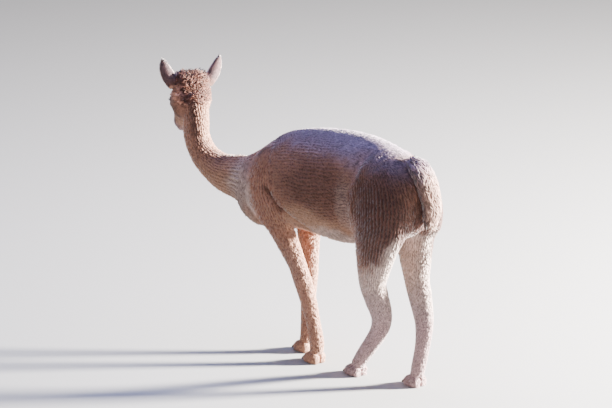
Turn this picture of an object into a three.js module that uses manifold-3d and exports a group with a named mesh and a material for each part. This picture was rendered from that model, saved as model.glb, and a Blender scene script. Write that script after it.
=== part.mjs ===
// A life-size shorn alpaca, standing in a slow walk with the neck low and the head turned away to its right.
// Millimetres, +X towards the head end, +Y towards the animal's left, +Z up, soles on z = 0.
import * as THREE from "three";
import { LoftGeometry } from "three/addons/geometries/LoftGeometry.js";
import { mergeVertices } from "three/addons/utils/BufferGeometryUtils.js";
import Module from "manifold-3d";

const wasm = await Module();
wasm.setup();

// ---------- driving sizes ----------
const GAP = 0.4; // clearance between neighbouring pieces
const SPINE_BEND = 0.00013; // sideways curve of the spine, per mm, towards the left at both ends
const FOOT_BELOW = 12; // how far a foot is lofted below the floor before it is cut flat

const HEAD_YAW = -28; // degrees from +X, so the face turns to the animal's right
const HEAD_PITCH = -38; // degrees, nose below the poll
const HEAD_LENGTH = 250; // poll to nose
const POLL = new THREE.Vector3(716, 86, 939); // where the head's axis starts, under the topknot
const EYE_RADIUS = 19;

const FORWARD = new THREE.Vector3(1, 0, 0);
const rad = THREE.MathUtils.degToRad;
const spineY = (x) => SPINE_BEND * x * x;

// ---------- lofts ----------
// A station is [x, y, z, half, up, down, yaw]: the middle of a section, its half width, its reach on the
// back side and on the belly side of the middle, and the heading of its width axis in degrees.
// Sections stand square to the path, or to one fixed heading; a superellipse power squares their corners.
function sections(stations, { sides, steps, power = 2, heading = null, grow = 0 }) {
  const pick = (i) => stations.map((s) => s[i] ?? 0);
  const track = (a, b, c) => {
    const [x, y, z] = [pick(a), pick(b), pick(c)];
    const points = x.map((v, i) => new THREE.Vector3(v, y[i], z[i]));
    return new THREE.CatmullRomCurve3(points, false, "catmullrom", 0.5);
  };
  const path = track(0, 1, 2);
  const reach = track(3, 4, 5);
  const turn = track(6, 6, 6);
  const round = (v) => Math.sign(v) * Math.abs(v) ** (2 / power);
  const rows = (stations.length - 1) * steps;
  return Array.from({ length: rows + 1 }, (_, row) => {
    const t = row / rows;
    const middle = path.getPoint(t);
    const along = heading ?? path.getTangent(t);
    const [half, up, down] = reach.getPoint(t).toArray().map((r) => Math.max(r, 1) + grow);
    const yaw = rad(turn.getPoint(t).x);
    const side = new THREE.Vector3(-Math.sin(yaw), Math.cos(yaw), 0);
    side.addScaledVector(along, -side.dot(along)).normalize();
    const back = new THREE.Vector3().crossVectors(along, side);
    return Array.from({ length: sides }, (_, i) => {
      const angle = (i / sides) * 2 * Math.PI;
      const across = round(Math.cos(angle)) * half;
      const rise = round(Math.sin(angle)) * (Math.sin(angle) >= 0 ? up : down);
      return middle.clone().addScaledVector(side, across).addScaledVector(back, rise);
    });
  });
}

// A closed skin of triangles as a solid that can be joined and cut.
function solid(geometry) {
  const bare = new THREE.BufferGeometry();
  bare.setAttribute("position", geometry.attributes.position);
  bare.setIndex(geometry.index);
  const merged = mergeVertices(bare, 1e-4);
  return new wasm.Manifold(
    new wasm.Mesh({
      numProp: 3,
      vertProperties: merged.attributes.position.array,
      triVerts: new Uint32Array(merged.index.array),
    }),
  );
}

const loft = (stations, options) =>
  solid(new LoftGeometry(sections(stations, options), { capStart: true, capEnd: true }));

// A loft and the slightly larger one that cuts its seat in a neighbour.
const piece = (stations, options) => ({
  body: loft(stations, options),
  cutter: loft(stations, { ...options, grow: GAP }),
});

// ---------- trunk ----------
// x, height of the back, height of the belly, half width, and how high the widest line lies (0 belly, 1 back).
const TRUNK_LINES = [
  [-466, 744, 702, 18, 0.5],
  [-460, 778, 662, 50, 0.5],
  [-444, 812, 616, 82, 0.5],
  [-410, 843, 580, 104, 0.5],
  [-345, 875, 556, 118, 0.52],
  [-260, 901, 532, 126, 0.55],
  [-160, 912, 503, 140, 0.52],
  [-60, 911, 487, 154, 0.48],
  [50, 901, 492, 158, 0.46],
  [150, 884, 495, 150, 0.46],
  [240, 860, 484, 130, 0.46],
  [320, 818, 472, 106, 0.45],
  [390, 758, 467, 90, 0.43],
  [440, 702, 490, 78, 0.42],
  [464, 652, 520, 58, 0.42],
  [478, 612, 550, 26, 0.5],
];
const trunkStations = TRUNK_LINES.map(([x, back, belly, half, widest]) => {
  const middle = belly + widest * (back - belly);
  return [x, spineY(x), middle, half, back - middle, middle - belly, 0];
});

// ---------- neck ----------
const neckStations = [
  [350, 18, 664, 80, 116, 124, 3],
  [431, 24, 650, 73, 92, 122, 5],
  [498, 36, 651, 66, 74, 111, 8],
  [569, 54, 655, 59, 62, 87, 9],
  [625, 70, 678, 54, 57, 66, 6],
  [663, 82, 717, 51, 56, 58, -4],
  [686, 90, 776, 50, 58, 56, -16],
  [688, 90, 835, 51, 58, 56, -24],
  [694, 90, 885, 53, 56, 58, -28],
  [708, 88, 925, 50, 44, 50, -28],
];

// ---------- head ----------
// Stations along the head's own axis, from the poll to the lips: distance, rise of the middle,
// half width, reach up, reach down.
const HEAD_LINES = [
  [-34, -8, 28, 22, 30],
  [-18, -8, 58, 42, 50],
  [12, -8, 72, 50, 66],
  [50, -6, 72, 50, 70],
  [88, -4, 65, 43, 66],
  [124, -6, 54, 35, 57],
  [158, -9, 44, 33, 49],
  [195, -14, 38, 32, 43],
  [224, -19, 35, 30, 37],
  [242, -23, 28, 23, 28],
  [HEAD_LENGTH, -26, 13, 10, 13],
];
const headAxis = FORWARD.clone()
  .applyAxisAngle(new THREE.Vector3(0, 1, 0), -rad(HEAD_PITCH))
  .applyAxisAngle(new THREE.Vector3(0, 0, 1), rad(HEAD_YAW));
const headLeft = new THREE.Vector3(-Math.sin(rad(HEAD_YAW)), Math.cos(rad(HEAD_YAW)), 0);
const headUp = new THREE.Vector3().crossVectors(headAxis, headLeft);

// A point given along the head's axis, to its left and above it.
const onHead = (ahead, left, above) =>
  POLL.clone()
    .addScaledVector(headAxis, ahead)
    .addScaledVector(headLeft, left)
    .addScaledVector(headUp, above);
const headStations = HEAD_LINES.map(([ahead, rise, half, up, down]) => [
  ...onHead(ahead, 0, rise).toArray(),
  half,
  up,
  down,
  HEAD_YAW,
]);

// The woolly crown between the ears: a ball squared off until |x|^3 + |y|^3 + |z|^3 = 1.
const CROWN_REACH = [54, 60, 50]; // ahead, to either side, and above its middle
function crown(grow = 0) {
  const ball = new THREE.SphereGeometry(1, 12, 8);
  const { position } = ball.attributes;
  const point = new THREE.Vector3();
  for (let i = 0; i < position.count; i++) {
    point.fromBufferAttribute(position, i);
    point.divideScalar(Math.cbrt(point.toArray().reduce((sum, v) => sum + Math.abs(v) ** 3, 0)));
    position.setXYZ(i, point.x, point.y, point.z);
  }
  ball.scale(...CROWN_REACH.map((reach) => reach + grow));
  ball.rotateY(-rad(HEAD_PITCH));
  ball.rotateZ(rad(HEAD_YAW));
  const middle = onHead(2, 0, 32);
  ball.translate(middle.x, middle.y, middle.z);
  return solid(ball);
}

// ---------- ears ----------
// Spear-shaped shells: distance from the root, half width, and thickness of the cupped blade.
const EAR_LENGTH = 124;
const EAR_LINES = [
  [0, 23, 18],
  [0.15, 26, 16],
  [0.35, 27.5, 12],
  [0.6, 23, 8],
  [0.82, 15, 5],
  [0.95, 7, 3.5],
  [1, 2.5, 2],
];
const EAR_SPREAD = 22; // degrees that the ears lean outwards
const EAR_TURN = 10; // degrees that their openings turn towards each other
const earStations = (sign) =>
  EAR_LINES.map(([share, half, thick]) => {
    const reach = share * EAR_LENGTH;
    const lean = rad(EAR_SPREAD);
    const bow = 9 * Math.sin(Math.PI * share);
    const root = onHead(-6, sign * 64, 20);
    const out = headLeft.clone().multiplyScalar(sign);
    const rise = new THREE.Vector3(0, 0, 1);
    const at = root
      .addScaledVector(rise, reach * Math.cos(lean))
      .addScaledVector(out, reach * Math.sin(lean) + bow);
    return [...at.toArray(), half, thick / 2, thick / 2, HEAD_YAW - sign * EAR_TURN];
  });

// ---------- legs ----------
// From the shoulder or hip down to the pastern: x, y, z, half width, reach forwards, reach backwards.
const FRONT_LEFT = [
  [282, 84, 800, 14, 16, 18],
  [290, 88, 772, 38, 46, 52],
  [302, 94, 705, 52, 76, 90],
  [300, 97, 630, 54, 86, 112],
  [264, 95, 562, 52, 70, 98],
  [224, 88, 505, 46, 48, 64],
  [156, 70, 381, 33, 36, 42],
  [132, 60, 314, 32, 35, 40],
  [110, 53, 250, 30, 33, 36],
  [88, 46, 160, 26, 27, 32],
  [70, 42, 80, 26, 28, 30],
  [72, 42, 42, 25, 27, 26],
];
const FRONT_RIGHT = [
  [282, -84, 800, 14, 16, 18],
  [290, -88, 772, 38, 46, 52],
  [304, -94, 705, 52, 76, 88],
  [306, -97, 630, 54, 90, 104],
  [284, -94, 560, 51, 80, 88],
  [254, -84, 505, 46, 60, 62],
  [218, -58, 381, 34, 40, 42],
  [212, -50, 314, 34, 36, 40],
  [208, -44, 250, 31, 33, 34],
  [203, -35, 160, 25, 27, 29],
  [199, -30, 80, 25, 28, 28],
  [204, -30, 42, 25, 27, 26],
];
const HIND_LEFT = [
  [-268, 80, 856, 14, 16, 18],
  [-276, 84, 828, 40, 52, 58],
  [-294, 90, 768, 58, 92, 108],
  [-304, 93, 695, 66, 108, 134],
  [-300, 93, 620, 66, 104, 140],
  [-282, 90, 545, 58, 82, 118],
  [-260, 75, 400, 44, 58, 66],
  [-270, 64, 335, 39, 54, 56],
  [-286, 57, 285, 35, 50, 50],
  [-284, 52, 240, 30, 42, 46],
  [-254, 46, 185, 27, 30, 40],
  [-180, 38, 92, 26, 27, 32],
  [-146, 36, 42, 25, 27, 26],
];
const HIND_RIGHT = [
  [-272, -80, 846, 14, 16, 18],
  [-280, -82, 818, 38, 48, 54],
  [-298, -88, 762, 56, 86, 96],
  [-310, -92, 695, 66, 104, 124],
  [-314, -93, 620, 67, 102, 128],
  [-312, -88, 540, 57, 86, 96],
  [-344, -68, 400, 42, 52, 62],
  [-374, -56, 335, 37, 46, 56],
  [-398, -48, 285, 33, 42, 48],
  [-412, -42, 235, 29, 35, 41],
  [-411, -36, 160, 26, 28, 33],
  [-398, -31, 80, 25, 28, 29],
  [-390, -31, 42, 25, 27, 26],
];

// ---------- feet ----------
// Two toes side by side, each a padded lobe with a curved nail over its tip.
const TOE = { length: 78, half: 17, height: 38, apart: 15.5 };
function toeStations(x, y) {
  const { length, half, height } = TOE;
  return [
    [x - 0.42 * length, y, 0.5 * height, half * 0.55, height * 0.3, FOOT_BELOW + 8, 0],
    [x - 0.3 * length, y, 0.5 * height, half * 0.9, height * 0.55, FOOT_BELOW + 14, 0],
    [x, y, 0.5 * height, half, height * 0.72, FOOT_BELOW + 16, 0],
    [x + 0.32 * length, y, 0.4 * height, half * 0.86, height * 0.5, FOOT_BELOW + 14, 0],
    [x + 0.5 * length, y, 0.3 * height, half * 0.5, height * 0.22, FOOT_BELOW + 8, 0],
  ];
}
const NAIL = { length: 34, half: 8, height: 9 };
function nailStations(x, y) {
  const tip = x + 0.5 * TOE.length;
  const { length, half, height } = NAIL;
  return [
    [tip - 0.62 * length, y, TOE.height * 0.62, half * 0.5, height * 0.3, height * 0.5, 0],
    [tip - 0.35 * length, y, TOE.height * 0.54, half * 0.95, height * 0.6, height, 0],
    [tip + 0.05 * length, y, TOE.height * 0.4, half, height * 0.55, height, 0],
    [tip + 0.34 * length, y, TOE.height * 0.2, half * 0.55, height * 0.35, height * 0.4, 0],
  ];
}

// ---------- tail ----------
const TAIL = [
  [-386, 14, 866, 32, 14, 18, 0],
  [-428, 11, 848, 46, 20, 24, 0],
  [-462, 8, 806, 48, 26, 28, 0],
  [-484, 4, 752, 45, 29, 28, 0],
  [-490, -1, 696, 41, 28, 27, 0],
  [-484, -3, 650, 32, 22, 22, 0],
  [-476, -3, 622, 16, 12, 12, 0],
];

// ---------- build ----------
const belowFloor = new THREE.BoxGeometry(3000, 1500, 400);
belowFloor.translate(0, 0, -200);
const floor = solid(belowFloor);
const half = (sign) => {
  const box = new THREE.BoxGeometry(3000, 1500, 3000);
  box.translate(0, sign * (750 + GAP / 2), 0);
  return solid(box);
};
const LEFT_HALF = half(1);
const RIGHT_HALF = half(-1);

const trunk = piece(trunkStations, { sides: 22, steps: 2, power: 2.1, heading: FORWARD });
const neck = piece(neckStations, { sides: 16, steps: 2 });
const skull = piece(headStations, { sides: 16, steps: 2, power: 2.2 });
const ears = {};
const eyes = {};
for (const [side, sign] of [
  ["left", 1],
  ["right", -1],
]) {
  ears[side] = piece(earStations(sign), { sides: 10, steps: 1 });
  const middle = onHead(98, sign * 46, 8);
  const ball = (grow) =>
    solid(new THREE.SphereGeometry(EYE_RADIUS + grow, 12, 6).translate(middle.x, middle.y, middle.z));
  eyes[side] = { body: ball(0), cutter: ball(GAP) };
}
const legs = {
  front_left: { stations: FRONT_LEFT, half: LEFT_HALF },
  front_right: { stations: FRONT_RIGHT, half: RIGHT_HALF },
  hind_left: { stations: HIND_LEFT, half: LEFT_HALF },
  hind_right: { stations: HIND_RIGHT, half: RIGHT_HALF },
};
for (const leg of Object.values(legs)) {
  Object.assign(leg, piece(leg.stations, { sides: 12, steps: 2 }));
  leg.body = leg.body.intersect(leg.half);
  const [x, y] = leg.stations.at(-1);
  leg.toes = [-1, 1].map((side) => {
    const at = [x + 10, y + side * TOE.apart];
    const toe = piece(toeStations(...at), { sides: 8, steps: 1, power: 2.3 });
    const nail = piece(nailStations(...at), { sides: 6, steps: 1 });
    return { toe, nail };
  });
}
const tail = piece(TAIL, { sides: 12, steps: 1 });

const solids = {};
const all = Object.values(legs);
solids.trunk = all.reduce((body, leg) => body.subtract(leg.cutter), trunk.body);
const headWhole = skull.body.add(crown());
const headCutter = skull.cutter.add(crown(GAP));
solids.head = headWhole.subtract(eyes.left.cutter).subtract(eyes.right.cutter);
solids.neck = all.reduce(
  (body, leg) => body.subtract(leg.cutter),
  neck.body.subtract(trunk.cutter).subtract(headCutter),
);
solids.tail = [trunk, ...all].reduce((body, other) => body.subtract(other.cutter), tail.body);
for (const side of ["left", "right"]) {
  solids[`ear_${side}`] = ears[side].body.subtract(headCutter);
  solids[`eye_${side}`] = eyes[side].body;
}
for (const [name, leg] of Object.entries(legs)) {
  const [inner, outer] = leg.toes;
  const nails = [inner.nail, outer.nail];
  const foot = inner.toe.body.add(outer.toe.body).subtract(floor);
  const footCutter = inner.toe.cutter.add(outer.toe.cutter);
  solids[`leg_${name}`] = leg.body.subtract(footCutter);
  solids[`foot_${name}`] = nails.reduce((body, nail) => body.subtract(nail.cutter), foot);
  nails.forEach((nail, i) => {
    solids[`nail_${name}_${i + 1}`] = nail.body.subtract(floor);
  });
}

// ---------- materials ----------
const COLOURS = {
  fleece: { color: 0xa9805f, roughness: 0.95, metalness: 0 },
  pale: { color: 0xc9b299, roughness: 0.95, metalness: 0 },
  eye: { color: 0x140d0a, roughness: 0.12, metalness: 0 },
  nail: { color: 0x3a2f29, roughness: 0.5, metalness: 0 },
};
const finishOf = (name) => {
  if (name.startsWith("eye")) return COLOURS.eye;
  if (name.startsWith("nail")) return COLOURS.nail;
  return name.startsWith("leg") || name.startsWith("foot") ? COLOURS.pale : COLOURS.fleece;
};

function meshOf(name, body) {
  const { vertProperties, triVerts } = body.getMesh();
  const geometry = new THREE.BufferGeometry();
  geometry.setAttribute("position", new THREE.BufferAttribute(new Float32Array(vertProperties), 3));
  geometry.setIndex(new THREE.BufferAttribute(new Uint32Array(triVerts), 1));
  geometry.computeVertexNormals();
  const mesh = new THREE.Mesh(geometry, new THREE.MeshStandardMaterial(finishOf(name)));
  mesh.name = name;
  return mesh;
}

const alpaca = new THREE.Group();
for (const [name, body] of Object.entries(solids)) alpaca.add(meshOf(name, body));

// The origin lies on the floor under the middle of the whole animal.
const bounds = new THREE.Box3().setFromObject(alpaca);
const centre = bounds.getCenter(new THREE.Vector3());
alpaca.position.set(-centre.x, -centre.y, -bounds.min.z);

export default alpaca;
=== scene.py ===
"""A life-size shorn alpaca in a slow walk, with its skin, fleece, eyes, nails and a plain studio.

Metres throughout, +X the way the body faces, +Y the animal's left, +Z up, soles on z = 0.
Station tables are in millimetres from the point of the body under the loins, as in the solids.
"""

from __future__ import annotations

import logging
import math
from dataclasses import dataclass, field
from enum import Enum

import bmesh
import bpy
import numpy as np
import openvdb as vdb
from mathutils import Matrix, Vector

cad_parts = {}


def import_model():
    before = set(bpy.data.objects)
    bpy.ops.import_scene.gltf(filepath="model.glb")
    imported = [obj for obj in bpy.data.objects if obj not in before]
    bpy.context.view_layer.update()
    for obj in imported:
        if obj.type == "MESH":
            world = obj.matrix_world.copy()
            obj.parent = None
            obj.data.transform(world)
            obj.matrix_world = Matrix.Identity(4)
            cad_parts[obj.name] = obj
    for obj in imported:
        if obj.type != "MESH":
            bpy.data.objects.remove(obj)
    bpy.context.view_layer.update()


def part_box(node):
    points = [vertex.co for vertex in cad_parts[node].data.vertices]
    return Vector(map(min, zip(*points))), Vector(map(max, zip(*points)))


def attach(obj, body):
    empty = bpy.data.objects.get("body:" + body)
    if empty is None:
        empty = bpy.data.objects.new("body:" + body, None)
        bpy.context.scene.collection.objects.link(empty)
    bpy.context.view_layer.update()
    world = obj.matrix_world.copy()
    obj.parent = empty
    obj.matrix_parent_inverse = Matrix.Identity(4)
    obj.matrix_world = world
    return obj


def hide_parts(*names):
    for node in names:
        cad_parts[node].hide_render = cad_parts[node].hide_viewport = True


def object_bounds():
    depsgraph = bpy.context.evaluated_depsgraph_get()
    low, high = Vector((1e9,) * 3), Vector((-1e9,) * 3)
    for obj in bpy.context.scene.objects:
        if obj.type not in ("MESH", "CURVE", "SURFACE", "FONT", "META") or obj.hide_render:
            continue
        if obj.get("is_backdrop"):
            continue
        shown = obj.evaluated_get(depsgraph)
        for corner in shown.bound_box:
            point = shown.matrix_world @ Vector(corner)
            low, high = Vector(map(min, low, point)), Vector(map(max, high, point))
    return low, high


Array = np.ndarray
Window = tuple[slice, ...]
LOG = logging.getLogger("alpaca")
MM = 0.001
TURN = 2 * math.pi
BAND = 0.035  # how far from the surface the distance fields are kept, metres
EYE_AT = (98.0, 46.0, 8.0)  # the left eye's middle ahead, left and above of the poll, mm
EYE_RADIUS = 0.0188
POCKET = 0.0183  # how deep the skin goes inside the open lids, from the eye's middle
LID_RADIUS = 0.0216
OPENING = (0.0176, 0.0096)  # half length and half height of the lids' opening
NEAR_EYE = 0.030  # how far from an eye's middle its lids reach
CROWN_AT = (2.0, 0.0, 32.0)  # the crown's middle ahead, left and above of the poll, mm
TOE_AHEAD, TOE_ASIDE = 10, 15.5  # a toe's middle from its fetlock, mm
PATH_STEPS = 80  # sections of a tube among which the nearest to a point is looked for
CHUNK = 60000  # points that are compared with a tube at once
MOST_TUFTS = 19500  # in one piece, of ten triangles each
RINGLETS, TAIL_LOCKS = 1500, 800


def unit(v: Array) -> Array:
    """Vectors scaled to length 1 along the last axis."""
    return v / np.maximum(np.linalg.norm(v, axis=-1, keepdims=True), 1e-12)


def smoothstep(low: float, high: float, x: Array) -> Array:
    """A soft step from 0 at low to 1 at high (3t^2 - 2t^3)."""
    t = np.clip((x - low) / (high - low), 0, 1)
    return t * t * (3 - 2 * t)


def dot(a: Array, b: Array) -> Array:
    """Row by row dot product."""
    return np.einsum("...i,...i->...", a, b)


def sided(name: str, side: int) -> str:
    """A name for the left (1) or right (-1) one of a pair."""
    return f"{name}_left" if side > 0 else f"{name}_right"


def into_scene(name: str, data: bpy.types.ID) -> bpy.types.Object:
    """A new object in the scene for a mesh, a lamp or a camera."""
    obj = bpy.data.objects.new(name, data)
    bpy.context.scene.collection.objects.link(obj)
    return obj


# ---------------------------------------------------------------- head frame


@dataclass(frozen=True)
class HeadFrame:
    """Where the head is and how it is turned: yaw and pitch in degrees, poll in millimetres."""

    yaw: float = -28.0
    pitch: float = -38.0
    poll: tuple[float, float, float] = (716.0, 86.0, 939.0)
    length: float = 250.0

    @property
    def axes(self) -> Array:
        """Rows: ahead, left, above."""
        y, p = math.radians(self.yaw), math.radians(self.pitch)
        ahead = np.array([math.cos(p) * math.cos(y), math.cos(p) * math.sin(y), math.sin(p)])
        left = np.array([-math.sin(y), math.cos(y), 0.0])
        return np.stack([ahead, left, np.cross(ahead, left)])

    def point(self, ahead: float, left: float, above: float) -> Array:
        """A point in millimetres from its distances along the head's own axes."""
        return np.array(self.poll) + np.array([ahead, left, above]) @ self.axes


HEAD = HeadFrame()


# ---------------------------------------------------------------- lofts


def tube_faces(rows: int, sides: int) -> Array:
    """Triangles of a closed tube, whose vertices are its rings and then a point for each end."""
    i, j = np.meshgrid(np.arange(rows - 1), np.arange(sides), indexing="ij")
    p, q = i * sides + j, i * sides + (j + 1) % sides
    walls = np.stack([p, q, p + sides, q, q + sides, p + sides], -1).reshape(-1, 3)
    j = np.arange(sides)
    last = (rows - 1) * sides
    start = np.stack([np.full(sides, rows * sides), (j + 1) % sides, j], 1)
    end = np.stack([np.full(sides, rows * sides + 1), last + j, last + (j + 1) % sides], 1)
    return np.vstack([walls, start, end])


@dataclass(frozen=True)
class Track:
    """Sections of a loft sampled along its path, metres."""

    centre: Array
    along: Array
    side: Array
    back: Array
    half: Array
    up: Array
    down: Array


@dataclass(frozen=True)
class Loft:
    """A closed tube through stations [x, y, z, half, up, down, yaw], as in the solids.

    The path and the reaches follow a Catmull-Rom spline; each section is a superellipse with
    half width to the sides, up on its back side and down on its belly side. A bowed section's
    points move to the belly side by bow x half x (across / half)^2.
    """

    name: str
    stations: tuple[tuple[float, ...], ...]
    power: float = 2.0
    square_to_x: bool = False
    depth: float = 8.0  # coat depth, mm
    flow: float = 1.0  # +1 when the coat lies along the path, -1 against it
    rows_of_comb: int = 0  # comb lines round the tube
    bow: float = 0.0  # how far the sides are drawn to the belly side, in half widths

    def spline(self, t: Array) -> tuple[Array, Array]:
        """Values and slopes, (len(t), 7) each, of the station numbers at t in 0..1 along the path."""
        k = np.array([(*s, *[0.0] * (7 - len(s))) for s in self.stations], float)
        k = np.vstack([2 * k[0] - k[1], k, 2 * k[-1] - k[-2]])
        spans = len(self.stations) - 1
        p = np.clip(t, 0, 1) * spans
        i = np.minimum(p.astype(int), spans - 1)
        w = (p - i)[:, None]
        a, b, c, d = k[i], k[i + 1], k[i + 2], k[i + 3]
        m0, m1 = (c - a) / 2, (d - b) / 2
        q2, q3 = -3 * b + 3 * c - 2 * m0 - m1, 2 * b - 2 * c + m0 + m1
        return b + m0 * w + q2 * w**2 + q3 * w**3, m0 + 2 * q2 * w + 3 * q3 * w**2

    def track(self, rows: int, offset: Array) -> Track:
        """Sections at equal steps of the spline, moved by offset millimetres."""
        value, slope = self.spline(np.linspace(0, 1, rows))
        along = np.tile([1.0, 0, 0], (rows, 1)) if self.square_to_x else unit(slope[:, :3])
        yaw = np.radians(value[:, 6])
        side = np.stack([-np.sin(yaw), np.cos(yaw), 0 * yaw], 1)
        side = unit(side - along * dot(side, along)[:, None])
        reach = np.maximum(value[:, 3:6], 1.0) * MM
        return Track(
            (value[:, :3] + offset) * MM, along, side, np.cross(along, side), *reach.T
        )

    def surface(self, sides: int, rows: int, offset: Array) -> tuple[Array, Array]:
        """The closed tube moved by offset mm: vertices in metres and triangles facing out."""
        t = self.track(rows, offset)
        a = np.arange(sides) / sides * TURN
        c, s = np.cos(a), np.sin(a)
        c = np.sign(c) * np.abs(c) ** (2 / self.power)
        s = np.sign(s) * np.abs(s) ** (2 / self.power)
        rise = np.where(s >= 0, t.up[:, None], t.down[:, None]) * s - self.bow * t.half[:, None] * c**2
        ring = (
            t.centre[:, None]
            + t.side[:, None] * (t.half[:, None] * c)[..., None]
            + t.back[:, None] * rise[..., None]
        )
        verts = np.vstack([ring.reshape(-1, 3), t.centre[:1], t.centre[-1:]])
        return verts, tube_faces(rows, sides)

    def local(self, points: Array, offset: Array) -> dict[str, Array]:
        """Where points lie against the tube moved by offset mm.

        The result has t along the path, the angle round it, the gap to its surface in metres and
        the lie of the coat.
        """
        track = self.track(PATH_STEPS, offset)
        near = np.empty(len(points), int)
        for at in range(0, len(points), CHUNK):
            part = points[at : at + CHUNK]
            gap = dot(part, part)[:, None] - 2 * part @ track.centre.T + dot(track.centre, track.centre)
            near[at : at + CHUNK] = gap.argmin(1)
        rel = points - track.centre[near]
        across = dot(rel, track.side[near]) / track.half[near]
        height = dot(rel, track.back[near]) + self.bow * track.half[near] * np.minimum(across**2, 1.5)
        reach = np.where(height >= 0, track.up[near], track.down[near])
        rise = height / reach
        beyond = dot(rel, track.along[near]) / reach
        rho = np.sqrt(across**2 + rise**2 + beyond**2)
        return {
            "t": near / (PATH_STEPS - 1),
            "angle": np.arctan2(rise, across),
            "gap": np.linalg.norm(rel, axis=1) * (1 - 1 / np.maximum(rho, 0.05)),
            "along": track.along[near] * self.flow,
        }


def trunk_station(x: float, back: float, belly: float, half: float, widest: float) -> tuple:
    """A station of the trunk from its back and belly lines, in millimetres."""
    middle = belly + widest * (back - belly)
    return (x, 0.00013 * x * x, middle, half, back - middle, middle - belly, 0.0)


TRUNK = Loft(
    "trunk",
    tuple(
        trunk_station(*line)
        for line in (
            (-466, 744, 702, 18, 0.5),
            (-460, 778, 662, 50, 0.5),
            (-444, 812, 616, 82, 0.5),
            (-410, 843, 580, 104, 0.5),
            (-345, 875, 556, 118, 0.52),
            (-260, 901, 532, 126, 0.55),
            (-160, 912, 503, 140, 0.52),
            (-60, 911, 487, 154, 0.48),
            (50, 901, 492, 158, 0.46),
            (150, 884, 495, 150, 0.46),
            (240, 860, 484, 130, 0.46),
            (320, 818, 472, 106, 0.45),
            (390, 758, 467, 90, 0.43),
            (440, 702, 490, 78, 0.42),
            (464, 652, 520, 58, 0.42),
            (478, 612, 550, 26, 0.5),
        )
    ),
    power=2.1,
    square_to_x=True,
    depth=8.0,
    flow=-1.0,
    rows_of_comb=100,
)
NECK = Loft(
    "neck",
    (
        (350, 18, 664, 80, 116, 124, 3),
        (431, 24, 650, 73, 92, 122, 5),
        (498, 36, 651, 66, 74, 111, 8),
        (569, 54, 655, 59, 62, 87, 9),
        (625, 70, 678, 54, 57, 66, 6),
        (663, 82, 717, 51, 56, 58, -4),
        (686, 90, 776, 50, 58, 56, -16),
        (688, 90, 835, 51, 58, 56, -24),
        (694, 90, 885, 53, 56, 58, -28),
        (708, 88, 925, 50, 44, 50, -28),
    ),
    depth=7.0,
    flow=-1.0,
    rows_of_comb=34,
)
SKULL = Loft(
    "skull",
    tuple(
        (*HEAD.point(ahead, 0, rise), half, up, down, HEAD.yaw)
        for ahead, rise, half, up, down in (
            (-34, -8, 28, 22, 30),
            (-18, -8, 58, 42, 50),
            (12, -8, 72, 50, 66),
            (50, -6, 72, 50, 70),
            (88, -4, 65, 43, 66),
            (124, -6, 54, 35, 57),
            (158, -9, 44, 33, 49),
            (195, -14, 38, 32, 43),
            (224, -19, 35, 30, 37),
            (242, -23, 28, 23, 28),
            (HEAD.length, -26, 13, 10, 13),
        )
    ),
    power=2.2,
    depth=5.0,
    flow=-1.0,
)
TAIL = Loft(
    "tail",
    (
        (-386, 14, 866, 32, 14, 18, 0),
        (-428, 11, 848, 46, 20, 24, 0),
        (-462, 8, 806, 48, 26, 28, 0),
        (-484, 4, 752, 45, 29, 28, 0),
        (-490, -1, 696, 41, 28, 27, 0),
        (-484, -3, 650, 32, 22, 22, 0),
        (-476, -3, 622, 16, 12, 12, 0),
    ),
    depth=9.0,
)
LEGS = {
    "front_left": (
        (282, 84, 800, 14, 16, 18),
        (290, 88, 772, 38, 46, 52),
        (302, 94, 705, 52, 76, 90),
        (300, 97, 630, 54, 86, 112),
        (264, 95, 562, 52, 70, 98),
        (224, 88, 505, 46, 48, 64),
        (156, 70, 381, 33, 36, 42),
        (132, 60, 314, 32, 35, 40),
        (110, 53, 250, 30, 33, 36),
        (88, 46, 160, 26, 27, 32),
        (70, 42, 80, 26, 28, 30),
        (72, 42, 42, 25, 27, 26),
    ),
    "front_right": (
        (282, -84, 800, 14, 16, 18),
        (290, -88, 772, 38, 46, 52),
        (304, -94, 705, 52, 76, 88),
        (306, -97, 630, 54, 90, 104),
        (284, -94, 560, 51, 80, 88),
        (254, -84, 505, 46, 60, 62),
        (218, -58, 381, 34, 40, 42),
        (212, -50, 314, 34, 36, 40),
        (208, -44, 250, 31, 33, 34),
        (203, -35, 160, 25, 27, 29),
        (199, -30, 80, 25, 28, 28),
        (204, -30, 42, 25, 27, 26),
    ),
    "hind_left": (
        (-268, 80, 856, 14, 16, 18),
        (-276, 84, 828, 40, 52, 58),
        (-294, 90, 768, 58, 92, 108),
        (-304, 93, 695, 66, 108, 134),
        (-300, 93, 620, 66, 104, 140),
        (-282, 90, 545, 58, 82, 118),
        (-260, 75, 400, 44, 58, 66),
        (-270, 64, 335, 39, 54, 56),
        (-286, 57, 285, 35, 50, 50),
        (-284, 52, 240, 30, 42, 46),
        (-254, 46, 185, 27, 30, 40),
        (-180, 38, 92, 26, 27, 32),
        (-146, 36, 42, 25, 27, 26),
    ),
    "hind_right": (
        (-272, -80, 846, 14, 16, 18),
        (-280, -82, 818, 38, 48, 54),
        (-298, -88, 762, 56, 86, 96),
        (-310, -92, 695, 66, 104, 124),
        (-314, -93, 620, 67, 102, 128),
        (-312, -88, 540, 57, 86, 96),
        (-344, -68, 400, 42, 52, 62),
        (-374, -56, 335, 37, 46, 56),
        (-398, -48, 285, 33, 42, 48),
        (-412, -42, 235, 29, 35, 41),
        (-411, -36, 160, 26, 28, 33),
        (-398, -31, 80, 25, 28, 29),
        (-390, -31, 42, 25, 27, 26),
    ),
}


def leg_loft(name: str) -> Loft:
    """A leg from its withers or hip end down to the fetlock."""
    return Loft(f"leg_{name}", LEGS[name], depth=8.0, rows_of_comb=48)


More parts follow.
